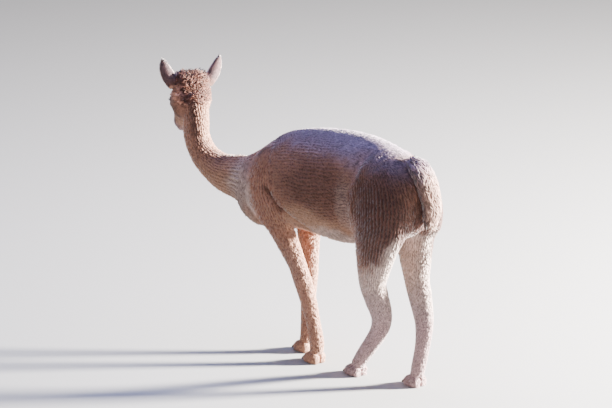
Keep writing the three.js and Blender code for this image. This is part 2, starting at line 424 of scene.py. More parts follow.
def ear_loft(side: int) -> Loft:
    """The left (1) or right (-1) ear from root to tip, a blade bowed outwards by 9 sin(pi share) mm."""
    lean = math.radians(22)
    out = np.array([*HEAD.axes[1][:2] * side, 0.0])
    root = HEAD.point(-6, side * 64, 20)
    rows = []
    for share, half, thick in (
        (0, 23, 18),
        (0.15, 26, 16),
        (0.35, 27.5, 12),
        (0.6, 23, 8),
        (0.82, 15, 5),
        (0.95, 7, 3.5),
        (1, 2.5, 2),
    ):
        reach = 124 * share
        at = root + [0, 0, reach * math.cos(lean)]
        at = at + out * (reach * math.sin(lean) + 9 * math.sin(math.pi * share))
        rows.append((*at, half, thick / 2, thick / 2, HEAD.yaw - side * 10))
    return Loft(sided("ear", side), tuple(rows), depth=0.6, bow=0.32)


def toe_loft(x: float, y: float) -> Loft:
    """One toe, its sole 12 mm under its section's middle at least, centred over x, y."""
    length, half, height, below = 78, 17, 38, 12
    return Loft(
        "toe",
        (
            (x - 0.42 * length, y, 0.5 * height, half * 0.55, height * 0.3, below + 8, 0),
            (x - 0.3 * length, y, 0.5 * height, half * 0.9, height * 0.55, below + 14, 0),
            (x, y, 0.5 * height, half, height * 0.72, below + 16, 0),
            (x + 0.32 * length, y, 0.4 * height, half * 0.86, height * 0.5, below + 14, 0),
            (x + 0.5 * length, y, 0.3 * height, half * 0.5, height * 0.22, below + 8, 0),
        ),
        power=2.3,
        depth=1.2,
    )


def nail_loft(x: float, y: float) -> Loft:
    """A nail lying over the tip of a toe, whose middle is at x, y."""
    tip, length, half, height = x + 39, 34, 8, 9
    return Loft(
        "nail",
        (
            (tip - 0.62 * length, y, 23.56, half * 0.5, height * 0.3, height * 0.5, 0),
            (tip - 0.35 * length, y, 20.52, half * 0.95, height * 0.6, height, 0),
            (tip + 0.05 * length, y, 15.2, half, height * 0.55, height, 0),
            (tip + 0.34 * length, y, 7.6, half * 0.55, height * 0.35, height * 0.4, 0),
        ),
    )


# ---------------------------------------------------------------- noise


class Lattice:
    """Smooth value noise over space, the same on every run."""

    def __init__(self, seed: int) -> None:
        """Shuffle the lattice's values once."""
        rng = np.random.default_rng(seed)
        self.order = rng.permutation(256)
        self.value = rng.uniform(-1, 1, 256)

    def at(self, points: Array, size: float) -> Array:
        """Noise in -1..1 on a lattice of a size in metres, blended over 8 corners with 3t^2 - 2t^3."""
        q = points / size
        cell = np.floor(q).astype(int)
        w = q - cell
        w = w * w * (3 - 2 * w)
        total = np.zeros(len(points))
        for corner in range(8):
            step = np.array([corner & 1, corner >> 1 & 1, corner >> 2])
            i, j, k = ((cell + step) & 255).T
            pick = self.order[(self.order[(self.order[i] + j) & 255] + k) & 255]
            total += np.prod(np.where(step, w, 1 - w), 1) * self.value[pick]
        return total


# ---------------------------------------------------------------- distance field


def soft_min(a: Array, b: Array, k: float | Array) -> Array:
    """The lower of two fields, rounded over a width k: min(a, b) - h^2 k / 4."""
    h = np.maximum(k - np.abs(a - b), 0) / np.maximum(k, 1e-6)
    return np.minimum(a, b) - h * h * k * 0.25


@dataclass
class Field:
    """Signed distances on a regular grid, negative inside the body, metres."""

    low: Array
    high: Array
    voxel: float
    band: float = BAND
    corner: Array = field(init=False)
    values: Array = field(init=False)

    def __post_init__(self) -> None:
        """Lay the grid out over the box."""
        self.corner = np.floor(self.low / self.voxel).astype(int) - 2
        shape = np.ceil(self.high / self.voxel).astype(int) + 3 - self.corner
        self.values = np.full(shape, self.band, np.float32)

    def window(self, low: Array, high: Array) -> Window:
        """The part of the grid that covers a box."""
        a = np.clip(np.floor(low / self.voxel).astype(int) - self.corner, 0, self.values.shape)
        b = np.clip(np.ceil(high / self.voxel).astype(int) + 1 - self.corner, 0, self.values.shape)
        return tuple(slice(int(i), int(j)) for i, j in zip(a, b))

    def whole(self) -> Window:
        """The window that covers the grid."""
        return tuple(slice(0, n) for n in self.values.shape)

    def places(self, window: Window) -> tuple[Array, ...]:
        """Metre coordinates of a window's grid points, as three arrays that broadcast."""
        axes = [
            ((np.arange(s.start, s.stop) + c) * self.voxel).astype(np.float32)
            for s, c in zip(window, self.corner)
        ]
        return axes[0][:, None, None], axes[1][None, :, None], axes[2][None, None, :]

    def tube(self, verts: Array, tris: Array) -> tuple[Window, Array]:
        """Distances to a closed mesh over the window that it reaches, and that window."""
        window = self.window(verts.min(0) - self.band, verts.max(0) + self.band)
        out = np.empty([s.stop - s.start for s in window], np.float32)
        if out.size == 0:
            return window, out
        grid = vdb.FloatGrid.createLevelSetFromPolygons(
            verts.astype(np.float32),
            triangles=tris.astype(np.uint32),
            transform=vdb.createLinearTransform(self.voxel),
            halfWidth=self.band / self.voxel,
        )
        start = self.corner + [s.start for s in window]
        grid.copyToArray(out, ijk=tuple(int(v) for v in start))
        return window, out

    def add(self, window: Window, solid: Array, k: float | Array) -> None:
        """Join a solid to the body with a fillet of width k, where both are within the band."""
        body = self.values[window]
        known = (body < self.band * 0.97) & (solid < self.band * 0.97)
        self.values[window] = soft_min(body, solid, np.where(known, k, 0).astype(np.float32))

    def cut(self, window: Window, solid: Array, k: float | Array) -> None:
        """Take a solid out of the body with a rounded edge of width k."""
        self.values[window] = -soft_min(-self.values[window], solid, k)

    def relax(self, reach: int, weight: Array, passes: int = 3) -> None:
        """Soften the form where weight is 1, by running means along each axis in turn.

        A mean takes in reach grid steps to each side; weight is broadcast over the grid.
        """
        soft = self.values
        for axis in (0, 1, 2) * passes:
            pad = [(0, 0)] * 3
            pad[axis] = (reach + 1, reach)
            total = np.cumsum(np.pad(soft, pad, "edge"), axis, dtype=np.float32)
            count = soft.shape[axis]
            high = total.take(range(2 * reach + 1, 2 * reach + 1 + count), axis)
            low = total.take(range(0, count), axis)
            soft = (high - low) / (2 * reach + 1)
        self.values = self.values + (soft - self.values) * weight.astype(np.float32)

    def at(self, points: Array) -> Array:
        """The distance at points, blended between the eight grid points round each."""
        q = points / self.voxel - self.corner
        q = np.clip(q, 0, np.array(self.values.shape) - 1.001)
        i = q.astype(int)
        w = q - i
        flat, (_, ny, nz) = self.values.ravel(), self.values.shape
        base = (i[:, 0] * ny + i[:, 1]) * nz + i[:, 2]
        total = np.zeros(len(points))
        for corner in range(8):
            step = (corner & 1, corner >> 1 & 1, corner >> 2)
            weight = np.prod(np.where(step, w, 1 - w), 1)
            total += weight * flat[base + (step[0] * ny + step[1]) * nz + step[2]]
        return total

    def slope(self, points: Array) -> Array:
        """The direction in which the distance grows, from central differences."""
        eye = np.eye(3) * self.voxel * 0.6
        return unit(np.stack([self.at(points + e) - self.at(points - e) for e in eye], 1))


def ball(
    places: tuple[Array, ...],
    centre: Array,
    radii: tuple[float, float, float],
    axes: Array,
    power: float = 2.0,
) -> Array:
    """Distances to an ellipsoid, as (|q / r| - 1) times its shortest radius.

    Its middle is in metres, its radii along the rows of axes in millimetres, and a power over 2
    squares it off.
    """
    q = along_axes(places, centre, axes)
    size = sum(np.abs(v / (r * MM)) ** power for v, r in zip(q, radii)) ** (1 / power)
    return ((size - 1) * min(radii) * MM).astype(np.float32)


def along_axes(
    places: tuple[Array, ...], centre: Array, axes: Array
) -> tuple[Array, ...]:
    """Coordinates of grid places along a turned frame's axes."""
    rel = [p - c for p, c in zip(places, centre)]
    return tuple(sum(r * float(a) for r, a in zip(rel, axis)) for axis in axes)


# ---------------------------------------------------------------- body


ELBOW_CREASE = ((236, 650), (194, 606), (148, 578), (107, 552), (64, 530))


def seen_from_side(x: Array, z: Array, line: tuple[tuple[float, float], ...]) -> Array:
    """Distances in metres, at most 1, from a line of points (x, z) mm, seen from the side.

    The places' x is from the point of the body under the loins and z from the floor, in metres.
    """
    near = np.full(np.broadcast_shapes(x.shape, z.shape), 1.0)
    for (x0, z0), (x1, z1) in zip(line, line[1:]):
        dx, dz = (x1 - x0) * MM, (z1 - z0) * MM
        t = np.clip(((x - x0 * MM) * dx + (z - z0 * MM) * dz) / (dx * dx + dz * dz), 0, 1)
        near = np.minimum(near, np.hypot(x - x0 * MM - t * dx, z - z0 * MM - t * dz))
    return near


@dataclass
class Body:
    """The animal's form under its coat, from which the skin and the coat are taken."""

    offset: Array
    coarse: float = 0.0045
    fine: float = 0.0015
    lofts: list[Loft] = field(init=False)
    toes: list[Loft] = field(init=False)
    parts: list[Loft] = field(init=False)

    def __post_init__(self) -> None:
        """Gather the tubes of the body, limbs and head, and the eight toes."""
        self.lofts = [TRUNK, NECK, SKULL, TAIL, *(leg_loft(n) for n in LEGS), ear_loft(1), ear_loft(-1)]
        self.toes = [toe_loft(x, y) for x, y in self.toe_places()]
        self.parts = self.lofts + self.toes

    def place(self, ahead: float, left: float, above: float) -> Array:
        """A point on the head in metres."""
        return (HEAD.point(ahead, left, above) + self.offset) * MM

    def eye_middle(self, side: int) -> Array:
        """The middle of an eye: 1 for the left one, -1 for the right."""
        ahead, left, above = EYE_AT
        return self.place(ahead, side * left, above)

    def on_head(self, points: Array) -> Array:
        """Points in metres in the head's own frame: ahead, left and above of the poll."""
        return (points - self.place(0, 0, 0)) @ HEAD.axes.T

    def toe_places(self) -> list[tuple[float, float]]:
        """Middles of the toes: 10 mm ahead of each fetlock and 15.5 mm to either side."""
        ends = [LEGS[name][-1] for name in LEGS]
        return [(x + TOE_AHEAD, y + s * TOE_ASIDE) for x, y, *_ in ends for s in (1, -1)]

    def crown(self, places: tuple[Array, ...]) -> Array:
        """Distances to the crown under its wool: a squared ball with a lobe 31 mm wide by each ear."""
        solid = ball(places, self.place(*CROWN_AT), (45, 51, 41), HEAD.axes, 3.0)
        for side in (1, -1):
            lobe = ball(places, self.place(-9, side * 31, 42), (31, 31, 31), HEAD.axes)
            solid = soft_min(solid, lobe, 0.012)
        return solid.astype(np.float32)

    def model(self, out: Field, whole: bool) -> None:
        """Join every tube into the field, each drawn in by the depth of its coat.

        Where the field covers the whole body, the flanks are softened and creased before the head,
        tail and ears are added.
        """
        first = [loft for loft in self.lofts if loft.name.startswith(("trunk", "neck", "leg"))]
        rest = [loft for loft in self.lofts if loft not in first]
        self.join(out, first)
        if whole:
            self.flanks(out)
        self.join(out, rest)
        window = out.window(self.place(*CROWN_AT) - 0.1, self.place(*CROWN_AT) + 0.1)
        if out.values[window].size:
            out.add(window, self.crown(out.places(window)), 0.014)
        for toe in self.toes:
            window, solid = out.tube(*toe.surface(32, 24, self.offset))
            if solid.size:
                out.add(window, solid + toe.depth * MM, 0.005)
        window = out.window(np.array([-1, -1, -0.05]), np.array([1, 1, 0.03]))
        if out.values[window].size:
            z = out.places(window)[2]
            out.cut(window, (z - 0.0004).astype(np.float32) + 0 * out.values[window], 0.002)

    def join(self, out: Field, lofts: list[Loft]) -> None:
        """Add tubes to the field with fillets that fade out down the legs.

        The body sinks by 9 exp(-(d / 14)^2) mm beside the tail, d being the distance to it.
        """
        for loft in lofts:
            rows, sides = (64, 40) if loft.name.startswith("ear") else (140, 72)
            window, solid = out.tube(*loft.surface(sides, rows, self.offset))
            if solid.size == 0:
                continue
            z = out.places(window)[2]
            depth = loft.depth
            k = {"neck": 0.034, "trunk": 0.034, "skull": 0.024}.get(loft.name, 0.012)
            if loft.name.startswith("leg"):
                depth = 2.6 + (loft.depth - 2.6) * smoothstep(0.22, 0.58, z)
                k = 0.001 + 0.034 * smoothstep(0.42, 0.6, z)
            elif loft.name.startswith("ear"):
                k = 0.022 - 0.016 * smoothstep(0.965, 1.0, z)
            elif loft.name == "tail":
                k = 0.004 + 0.026 * smoothstep(0.76, 0.85, z)
                groove = np.exp(-((np.maximum(solid, 0) / 0.014) ** 2)) * (1 - smoothstep(0.82, 0.88, z))
                out.values[window] += (0.009 * groove).astype(np.float32)
            out.add(window, solid + depth * MM, k)

    def emboss(self, out: Field, line: tuple[tuple[float, float], ...], width: float, depth: float) -> None:
        """Press a crease into both flanks, or raise a fold where depth is negative, in millimetres.

        The surface moves in by depth exp(-(d / width)^2), d being the distance to a line of points
        (x, z) seen from the side.
        """
        x, y, z = out.places(out.whole())
        near = seen_from_side(x - self.offset[0] * MM, z, line)
        side = smoothstep(0.035, 0.07, np.abs(y - self.offset[1] * MM))
        out.values += (depth * MM * np.exp(-((near / (width * MM)) ** 2)) * side).astype(np.float32)

    def flanks(self, out: Field) -> None:
        """Soften the trunk, then draw the elbow's crease, the flank's fold and the shoulder."""
        x, _, z = out.places(out.whole())
        ahead = x - self.offset[0] * MM
        weight = smoothstep(0.47, 0.58, z) * (1 - smoothstep(0.50, 0.58, ahead))
        out.relax(2, weight, 3)
        front = smoothstep(0.26, 0.33, ahead) * (1 - smoothstep(0.46, 0.52, ahead))
        out.relax(4, front * smoothstep(0.56, 0.62, z), 3)
        for line, width, depth in (
            (ELBOW_CREASE, 12, 12),
            (((262, 790), (246, 700), (232, 640)), 20, 3.5),
            (((-284, 868), (-226, 750), (-206, 650), (-206, 545)), 15, -3.5),
            (((-236, 860), (-180, 748), (-160, 650), (-158, 560)), 24, 6),
            (((384, 730), (352, 640), (318, 560)), 24, 2),
            (((-262, 560), (-286, 640), (-318, 720)), 26, 3),
        ):
            self.emboss(out, line, width, depth)

    def face(self, out: Field) -> None:
        """Shape the cheeks, brows, lids and nostrils, and hollow the ears."""
        whole = out.whole()
        places = out.places(whole)
        axes = HEAD.axes
        for side in (1, -1):
            for ahead, left, above, radii, k in (
                (62, 40, -32, (44, 20, 34), 0.018),
                (92, 46, 27, (26, 13, 9), 0.012),
                (234, 12, -26, (15, 12, 13), 0.008),
                (150, 22, 4, (50, 10, 10), 0.014),
            ):
                at = self.place(ahead, side * left, above)
                out.add(whole, ball(places, at, radii, axes), k)
        out.add(whole, ball(places, self.place(226, 0, -46), (19, 19, 11), axes), 0.008)
        for side in (1, -1):
            self.lids(out, side)
            self.nostril(out, side)
            self.ear_hollow(out, side)

    def eye_axes(self, side: int) -> Array:
        """The eye's own axes: outwards, towards the nose, and up."""
        look = unit(np.array([0.34, side * 0.93, 0.10]) @ HEAD.axes)
        nose = HEAD.axes[0] - look * (HEAD.axes[0] @ look)
        nose = unit(nose)
        return np.stack([look, nose, np.cross(nose, look) * side])

    def lid_gap(self, m: Array, v: Array) -> Array:
        """Distance from the lids' opening: |v + 0.6 - 0.08 m| - 9.6 (1 - (m / 17.6)^2) mm."""
        length, height = OPENING
        return np.abs(v + 0.0006 - 0.08 * m) - height * (1 - (m / length) ** 2)

    def round_eye(self, points: Array, side: int) -> tuple[Array, Array]:
        """Distances of points from an eye's middle, and from its lids' opening where in front."""
        w, m, v = ((points - self.eye_middle(side)) @ self.eye_axes(side).T).T
        return np.sqrt(w * w + m * m + v * v), np.where(w > 0, self.lid_gap(m, v), 1.0)

    def lids(self, out: Field, side: int) -> None:
        """Closed lids round the eye with a fold over the upper one; features() opens them."""
        centre = self.eye_middle(side)
        window = out.window(centre - 0.045, centre + 0.045)
        places = out.places(window)
        w, m, v = along_axes(places, centre, self.eye_axes(side))
        r = np.sqrt(w * w + m * m + v * v)
        out.add(window, (r - LID_RADIUS).astype(np.float32), 0.015)
        fold = np.hypot(r - 0.0240, 0.35 * np.minimum(self.lid_gap(m, v) - 0.0045, 0)) - 0.0003
        out.cut(window, np.maximum(fold, 0.008 - v + 6 * m * m).astype(np.float32), 0.004)

    def nostril(self, out: Field, side: int) -> None:
        """The raised rim round a nostril."""
        centre, axes = self.nostril_frame(side)
        window = out.window(centre - 0.03, centre + 0.03)
        out.add(window, ball(out.places(window), centre - HEAD.axes[0] * 0.006, (13, 9, 7), axes), 0.008)

    def nostril_frame(self, side: int) -> tuple[Array, Array]:
        """A nostril's middle and its axes: along the slit, out of the nose, across the slit."""
        turn = unit(HEAD.axes[2] * 0.8 + HEAD.axes[1] * side * 0.5 - HEAD.axes[0] * 0.15)
        out = unit(HEAD.axes[0] * 0.8 + HEAD.axes[1] * side * 0.6)
        out = unit(out - turn * (turn @ out))
        return self.place(245, side * 16, -18), np.stack([turn, out, np.cross(turn, out)])

    def slit(self, points: Array, side: int) -> Array:
        """Where points are on a nostril: hypot(t / 8.5, (c - 2.2 cos(1.5 t / 8.5)) / 2.6), 9 away from it."""
        centre, axes = self.nostril_frame(side)
        t, d, c = ((points - centre) @ axes.T / 0.0085).T
        return np.where(np.abs(d) < 1.5, np.hypot(t, (c - 0.26 * np.cos(t * 1.5)) * 3.27), 9.0)

    def lip_line(self, a: Array) -> Array:
        """Height of the mouth's line on the head: -38.5 mm, rising by 12 towards its corner."""
        return -0.0385 + 0.012 * smoothstep(0.245, 0.18, a)

    def features(self, points: Array) -> Array:
        """Points of the skin, moved to open the lids and press in the nostrils and the mouth.

        Lids move to 18.3 mm from the eye's middle inside their opening, nostrils sink by 7 mm
        inside (t / 8.5)^2 + (c / 2.6)^2 = 1, the mouth by 3.4 exp(-(d / 1.5)^2) mm.
        """
        out = points.copy()
        for side in (1, -1):
            eye, gap = self.round_eye(out, side)
            share = (eye < NEAR_EYE) * smoothstep(0.0005, -0.0010, gap)
            ray = unit(out - self.eye_middle(side))
            out -= ray * (np.maximum(eye - POCKET, 0) * share)[:, None]
            sunk = smoothstep(1.35, 0.75, self.slit(out, side))
            out -= self.nostril_frame(side)[1][1] * (0.007 * sunk)[:, None]
        a, b, c = self.on_head(points).T
        inside = (np.abs(b) < 0.05) * (c < 0.05) * (c > -0.08)
        lips = np.exp(-(((c - self.lip_line(a)) / 0.0015) ** 2)) * smoothstep(0.178, 0.190, a)
        split = np.exp(-((b / 0.0013) ** 2)) * smoothstep(0.222, 0.234, a)
        split = split * (c < -0.018) * (c > self.lip_line(a))
        middle = self.place(200, 0, -26)
        inward = unit(points - middle - HEAD.axes[0] * ((points - middle) @ HEAD.axes[0] * 0.5)[:, None])
        return out - inward * (inside * np.maximum(0.0034 * lips, 0.0026 * split))[:, None]

    def ear_hollow(self, out: Field, side: int) -> None:
        """The cup of an ear: a narrower blade, moved forwards, taken out of its front."""
        ear = ear_loft(side)
        rows = []
        for x, y, z, half, up, down, yaw in ear.stations[1:-1]:
            turn = math.radians(yaw)
            ahead = np.array([math.cos(turn), math.sin(turn)])
            x2, y2 = np.array([x, y]) + ahead * (up + 0.4)
            rows.append((x2, y2, z + 3, max(half - 4.2, 0.8), up * 1.0, down * 1.6, yaw))
        hollow = Loft("hollow", tuple(rows), bow=ear.bow)
        window, solid = out.tube(*hollow.surface(32, 48, self.offset))
        out.cut(window, solid, 0.003)


# ---------------------------------------------------------------- skin


def split_faces(verts: Array, quads: Array, body: Body) -> bpy.types.Mesh:
    """The skin's mesh with smaller faces on the head, ears and feet.

    Edges are halved once on the head, twice on the face, ears and feet, and three times round
    the eyes and the muzzle.
    """
    mesh = bpy.data.meshes.new("skin")
    mesh.from_pydata(verts.tolist(), [], quads.tolist())
    bm = bmesh.new()
    bm.from_mesh(mesh)
    poll = Vector(body.place(0, 0, 0))
    ahead = Vector(HEAD.axes[0])
    eyes = [Vector(body.eye_middle(side)) for side in (1, -1)]
    muzzle = Vector(body.place(232, 0, -28))
    for level in (0, 1, 2):
        edges = set()
        for face in bm.faces:
            c = face.calc_center_median()
            q = c - poll
            a, h = q.dot(ahead), c.z - poll.z
            near = q.length < 0.30 and c.x > poll.x - 0.09
            if level == 0:
                fine = near and (a > -0.03 or h > 0.02) or c.z < 0.055
            elif level == 1:
                fine = near and (a > 0.035 or h > 0.062) or c.z < 0.055
            else:
                fine = min((c - eye).length for eye in eyes) < 0.0285 or (c - muzzle).length < 0.041
            if fine:
                edges.update(face.edges)
        bmesh.ops.subdivide_edges(bm, edges=list(edges), cuts=1, use_grid_fill=True)
    bm.to_mesh(mesh)
    bm.free()
    return mesh


def settle(points: Array, body_field: Field, steps: int = 6) -> Array:
    """Points moved onto the surface: p - f n, at most 3 mm a step."""
    for _ in range(steps):
        f = body_field.at(points)
        points = points - body_field.slope(points) * np.clip(f, -0.003, 0.003)[:, None]
    return points


@dataclass
class Form:
    """The body's fields, coarse for the trunk and fine for the head."""

    body: Body
    coarse: Field = field(init=False)
    fine: Field = field(init=False)

    def __post_init__(self) -> None:
        """Model the whole body, then the head again with its features."""
        low, high = (np.array(v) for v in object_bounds())
        self.coarse = Field(low - 0.02, high + 0.02, self.body.coarse)
        self.body.model(self.coarse, True)
        middle = self.body.place(105, 0, 10)
        self.fine = Field(middle - [0.20, 0.19, 0.20], middle + [0.16, 0.19, 0.20], self.body.fine)
        self.body.model(self.fine, False)
        self.body.face(self.fine)

    def in_fine(self, points: Array) -> Array:
        """Which points lie well inside the fine grid."""
        low = (self.fine.corner + 8) * self.fine.voxel
        high = (self.fine.corner + np.array(self.fine.values.shape) - 8) * self.fine.voxel
        return np.all((points > low) & (points < high), axis=1)

    def settle(self, points: Array) -> Array:
        """Points moved onto the skin."""
        out = settle(points, self.coarse)
        near = self.in_fine(points)
        out[near] = settle(points[near], self.fine, 8)
        return out

    def normal(self, points: Array) -> Array:
        """The skin's outward direction at points."""
        out = self.coarse.slope(points)
        near = self.in_fine(points)
        out[near] = self.fine.slope(points[near])
        return out

    def skin(self) -> bpy.types.Mesh:
        """The skin as one closed mesh."""
        shape = self.coarse.values.copy()
        for side in (1, -1):
            window, solid = self.coarse.tube(*ear_loft(side).surface(40, 64, self.body.offset))
            shape[window] = soft_min(shape[window], solid - 0.0045, 0.004)
        grid = vdb.FloatGrid(BAND)
        grid.copyFromArray(np.ascontiguousarray(shape[::2, ::2, ::2]))
        grid.transform = vdb.createLinearTransform(2 * self.coarse.voxel)
        verts, quads = grid.convertToQuads(isovalue=0.0)
        verts = verts + self.coarse.corner * self.coarse.voxel
        mesh = split_faces(verts, quads[:, ::1], self.body)
        points = np.empty(len(mesh.vertices) * 3)
        mesh.vertices.foreach_get("co", points)
        points = self.body.features(self.settle(points.reshape(-1, 3)))
        mesh.vertices.foreach_set("co", points.ravel())
        mesh.update()
        return mesh


# ---------------------------------------------------------------- markings


def srgb(*rgb: float) -> Array:
    """A colour written in 0..255 display values, as linear light."""
    c = np.array(rgb) / 255
    return np.where(c <= 0.04045, c / 12.92, ((c + 0.055) / 1.055) ** 2.4)


@dataclass(frozen=True)
class Markings:
    """The coat's colours over the body, the same on skin and coat; some of their layers are painted shade and
    painted light.
    """

    body: Body
    mid: tuple[int, int, int] = (174, 124, 100)
    dark: tuple[int, int, int] = (82, 50, 42)
    pale: tuple[int, int, int] = (208, 184, 172)
    grey: tuple[int, int, int] = (158, 148, 180)
    fawn: tuple[int, int, int] = (204, 160, 130)
    crown: tuple[int, int, int] = (98, 60, 46)
    nose: tuple[int, int, int] = (74, 60, 60)
    cup: tuple[int, int, int] = (206, 168, 160)
    ear_back: tuple[int, int, int] = (92, 66, 67)
    # Painted rim light for the edges of the ears.
    ear_edge: tuple[int, int, int] = (236, 206, 198)
    # The nostrils' dark skin, darkened almost to black as painted shade in their hollows.
    nostril: tuple[int, int, int] = (18, 13, 13)

    def at(self, points: Array, noise: Lattice) -> Array:
        """Colours in linear light at points of the body, their borders broken up by noise."""
        wander = noise.at(points, 0.055)[:, None] * 0.022 + noise.at(points + 3, 0.018)[:, None] * 0.008
        x, y, z = (points - self.body.offset * MM + wander).T
        tone = np.tile(srgb(*self.mid), (len(points), 1))

        def lay(colour: tuple[int, int, int], share: Array) -> None:
            """Lay a colour over the coat by a share from 0 to 1."""
            nonlocal tone
            tone = tone + (srgb(*colour) - tone) * np.clip(share, 0, 1)[:, None]

        def blob(cx: float, cz: float, rx: float, rz: float) -> Array:
            """A soft patch seen from the side: 1 at its middle, 0 from its rim on."""
            return 1 - smoothstep(0.35, 1.0, np.hypot((x - cx) / rx, (z - cz) / rz))

        # Painted light: a cool lilac-grey over the top of the back stands in for skylight sheen on the
        # fleece.
        lay(self.grey, smoothstep(0.78, 0.88, z) * (x < 0.45) * 0.66)
        lay(self.dark, blob(-0.04, 0.70, 0.28, 0.16) * 0.6)
        # The thigh's darker brown, stretched over the buttock up to the tail as painted shade.
        lay(self.dark, blob(-0.36, 0.63, 0.21, 0.34) * 0.95)
        # Painted shade: dark along the crease behind the elbow.
        lay(self.dark, np.exp(-((seen_from_side(x, z, ELBOW_CREASE) / 0.012) ** 2)) * 0.85)
        lay(self.fawn, blob(0.02, 0.56, 0.24, 0.09) * 0.8)
        lay(self.fawn, smoothstep(0.30, 0.46, x) * (1 - smoothstep(0.62, 0.74, z)) * 0.6)
        # Painted highlight: a pale streak along the flank's fold.
        lay(self.pale, blob(-0.168, 0.65, 0.05, 0.19) * 0.30)
        lay(self.pale, blob(-0.10, 0.52, 0.20, 0.06) * 0.7)
        lay(self.pale, smoothstep(0.48, 0.40, z) * (0.14 + 0.28 * (x < -0.1)))
        lay(self.mid, smoothstep(0.46, 0.20, z) * np.where(x < -0.1, 0.45, 0.75))
        lay(self.grey, smoothstep(0.44, 0.30, z) * (x < -0.1) * 0.30)
        inner = smoothstep(0.60, 0.55, z) * smoothstep(0.118, 0.096, np.abs(y)) * smoothstep(-0.18, -0.22, x)
        lay(self.pale, inner * smoothstep(0.2, 0.4, z) * 0.7)
        lay(self.pale, blob(0.42, 0.61, 0.12, 0.13) * 0.8)
        tail = TAIL.local(points, self.body.offset)
        on_tail = smoothstep(0.004, -0.004, tail["gap"]) * smoothstep(0.12, 0.3, tail["t"])
        lay(self.pale, on_tail * 0.30)
        # Painted shade: the tail is darker on its sides, most on the side that faces the body.
        facing = np.arctan2(np.sin(tail["angle"]), np.abs(np.cos(tail["angle"])))
        lay(self.dark, on_tail * smoothstep(-0.75, 0.25, facing) * 0.6)
        lay(self.fawn, on_tail * smoothstep(0.80, 0.95, tail["t"]) * 0.7)
        # Painted shade: dark in the crease where the tail meets the buttocks.
        beside = smoothstep(0.020, 0.004, tail["gap"]) * smoothstep(-0.004, 0.002, tail["gap"])
        lay(self.dark, beside * smoothstep(0.2, 0.35, tail["t"]) * 0.9)
        # Painted shade: a dark band along the back of the neck, a little to its left, on its upper part.
        nape = NECK.local(points, self.body.offset)
        band = np.exp(-(((nape["angle"] - 1.2) / 0.5) ** 2)) * smoothstep(0.025, 0.010, np.abs(nape["gap"]))
        lay(self.dark, band * smoothstep(0.20, 0.45, nape["t"]) * 0.85)
        head = self.body.on_head(points)
        a, b, c = head.T
        near = np.linalg.norm(head - [0.09, 0, 0], axis=1) < 0.24
        woolly = smoothstep(-0.045, -0.025, points[:, 2] - self.body.place(0, 0, 0)[2])
        woolly = woolly * (1 - smoothstep(0.02, 0.06, a)) * (1 - smoothstep(0.03, 0.06, b) * (c < 0.02))
        woolly = np.maximum(woolly, smoothstep(0.02, 0.05, c) * (1 - smoothstep(0.06, 0.11, a)))
        lay(self.crown, near * woolly)
        lay(self.fawn, near * smoothstep(0.10, 0.17, a) * 0.5)
        lay(self.grey, near * smoothstep(0.19, 0.23, a) * 0.35)
        bare = smoothstep(0.238, 0.246, a) * (c > -0.034) * (1 - smoothstep(0.010, 0.016, np.abs(b)))
        lay(self.nose, near * bare)
        lips = np.abs(c - self.body.lip_line(a)) + 1.0 * (a < 0.186)
        lay(self.nose, near * (1 - smoothstep(0.0012, 0.0036, lips)) * 0.9)
        for side in (1, -1):
            eye, gap = self.body.round_eye(points, side)
            lay(self.fawn, (1 - smoothstep(0.026, 0.034, eye)) * 0.8)
            lay(self.dark, (1 - smoothstep(0.024, 0.036, eye)) * 0.35)
            lay(self.nose, (eye < NEAR_EYE) * (1 - smoothstep(0.0012, 0.0034, gap)))
            slit = self.body.slit(points, side)
            lay(self.nose, 1 - smoothstep(1.5, 2.3, slit))
            # The nostrils' dark skin, near black as painted shade in their hollows.
            lay(self.nostril, 1 - smoothstep(0.9, 1.4, slit))
            here = ear_loft(side).local(points, self.body.offset)
            ear = (here["gap"] < 0.006) * smoothstep(0.06, 0.30, here["t"])
            rise, edge = np.sin(here["angle"]), np.abs(np.cos(here["angle"]))
            lay(self.ear_back, ear * smoothstep(-0.1, 0.25, rise))
            lay(self.cup, ear * smoothstep(0.05, -0.25, rise))
            # Painted highlight: pale rims along both edges of each ear stand in for rim light.
            lay(self.ear_edge, ear * smoothstep(0.90, 0.985, edge) * 0.7)
            lay(self.ear_back, ear * smoothstep(0.86, 0.97, here["t"]))
        return tone


# ---------------------------------------------------------------- coat


@dataclass(frozen=True)
class Cut:
    """Sizes of one part's tufts in millimetres, and how thickly they stand."""

    length: float
    width: float
    lift: float
    cover: float = 2.6


CUTS = {
    "trunk": Cut(14, 3.9, 8.0, 2.4),
    "neck": Cut(12, 3.4, 7.0, 2.4),
    "skull": Cut(7, 2.4, 4.6),
    "crown": Cut(9, 3.6, 8.0, 1.6),
    "tail": Cut(26, 5.0, 9.0, 3.2),
    "leg": Cut(13, 3.9, 8.0, 2.4),
    "shank": Cut(9, 3.0, 2.6),
    "ear": Cut(6, 2.0, 0.8, 2.2),
    "toe": Cut(6, 2.2, 1.1),
}


def cut_row(name: str) -> Array:
    """A part's cut as length, width and lift in metres, and cover."""
    cut = CUTS[next(key for key in CUTS if name.startswith(key))]
    return np.array([cut.length * MM, cut.width * MM, cut.lift * MM, cut.cover])


@dataclass
class Lie:
    """Where points are on the body's parts and which way the coat lies there."""

    part: Array
    t: Array
    angle: Array
    flow: Array
    share: Array


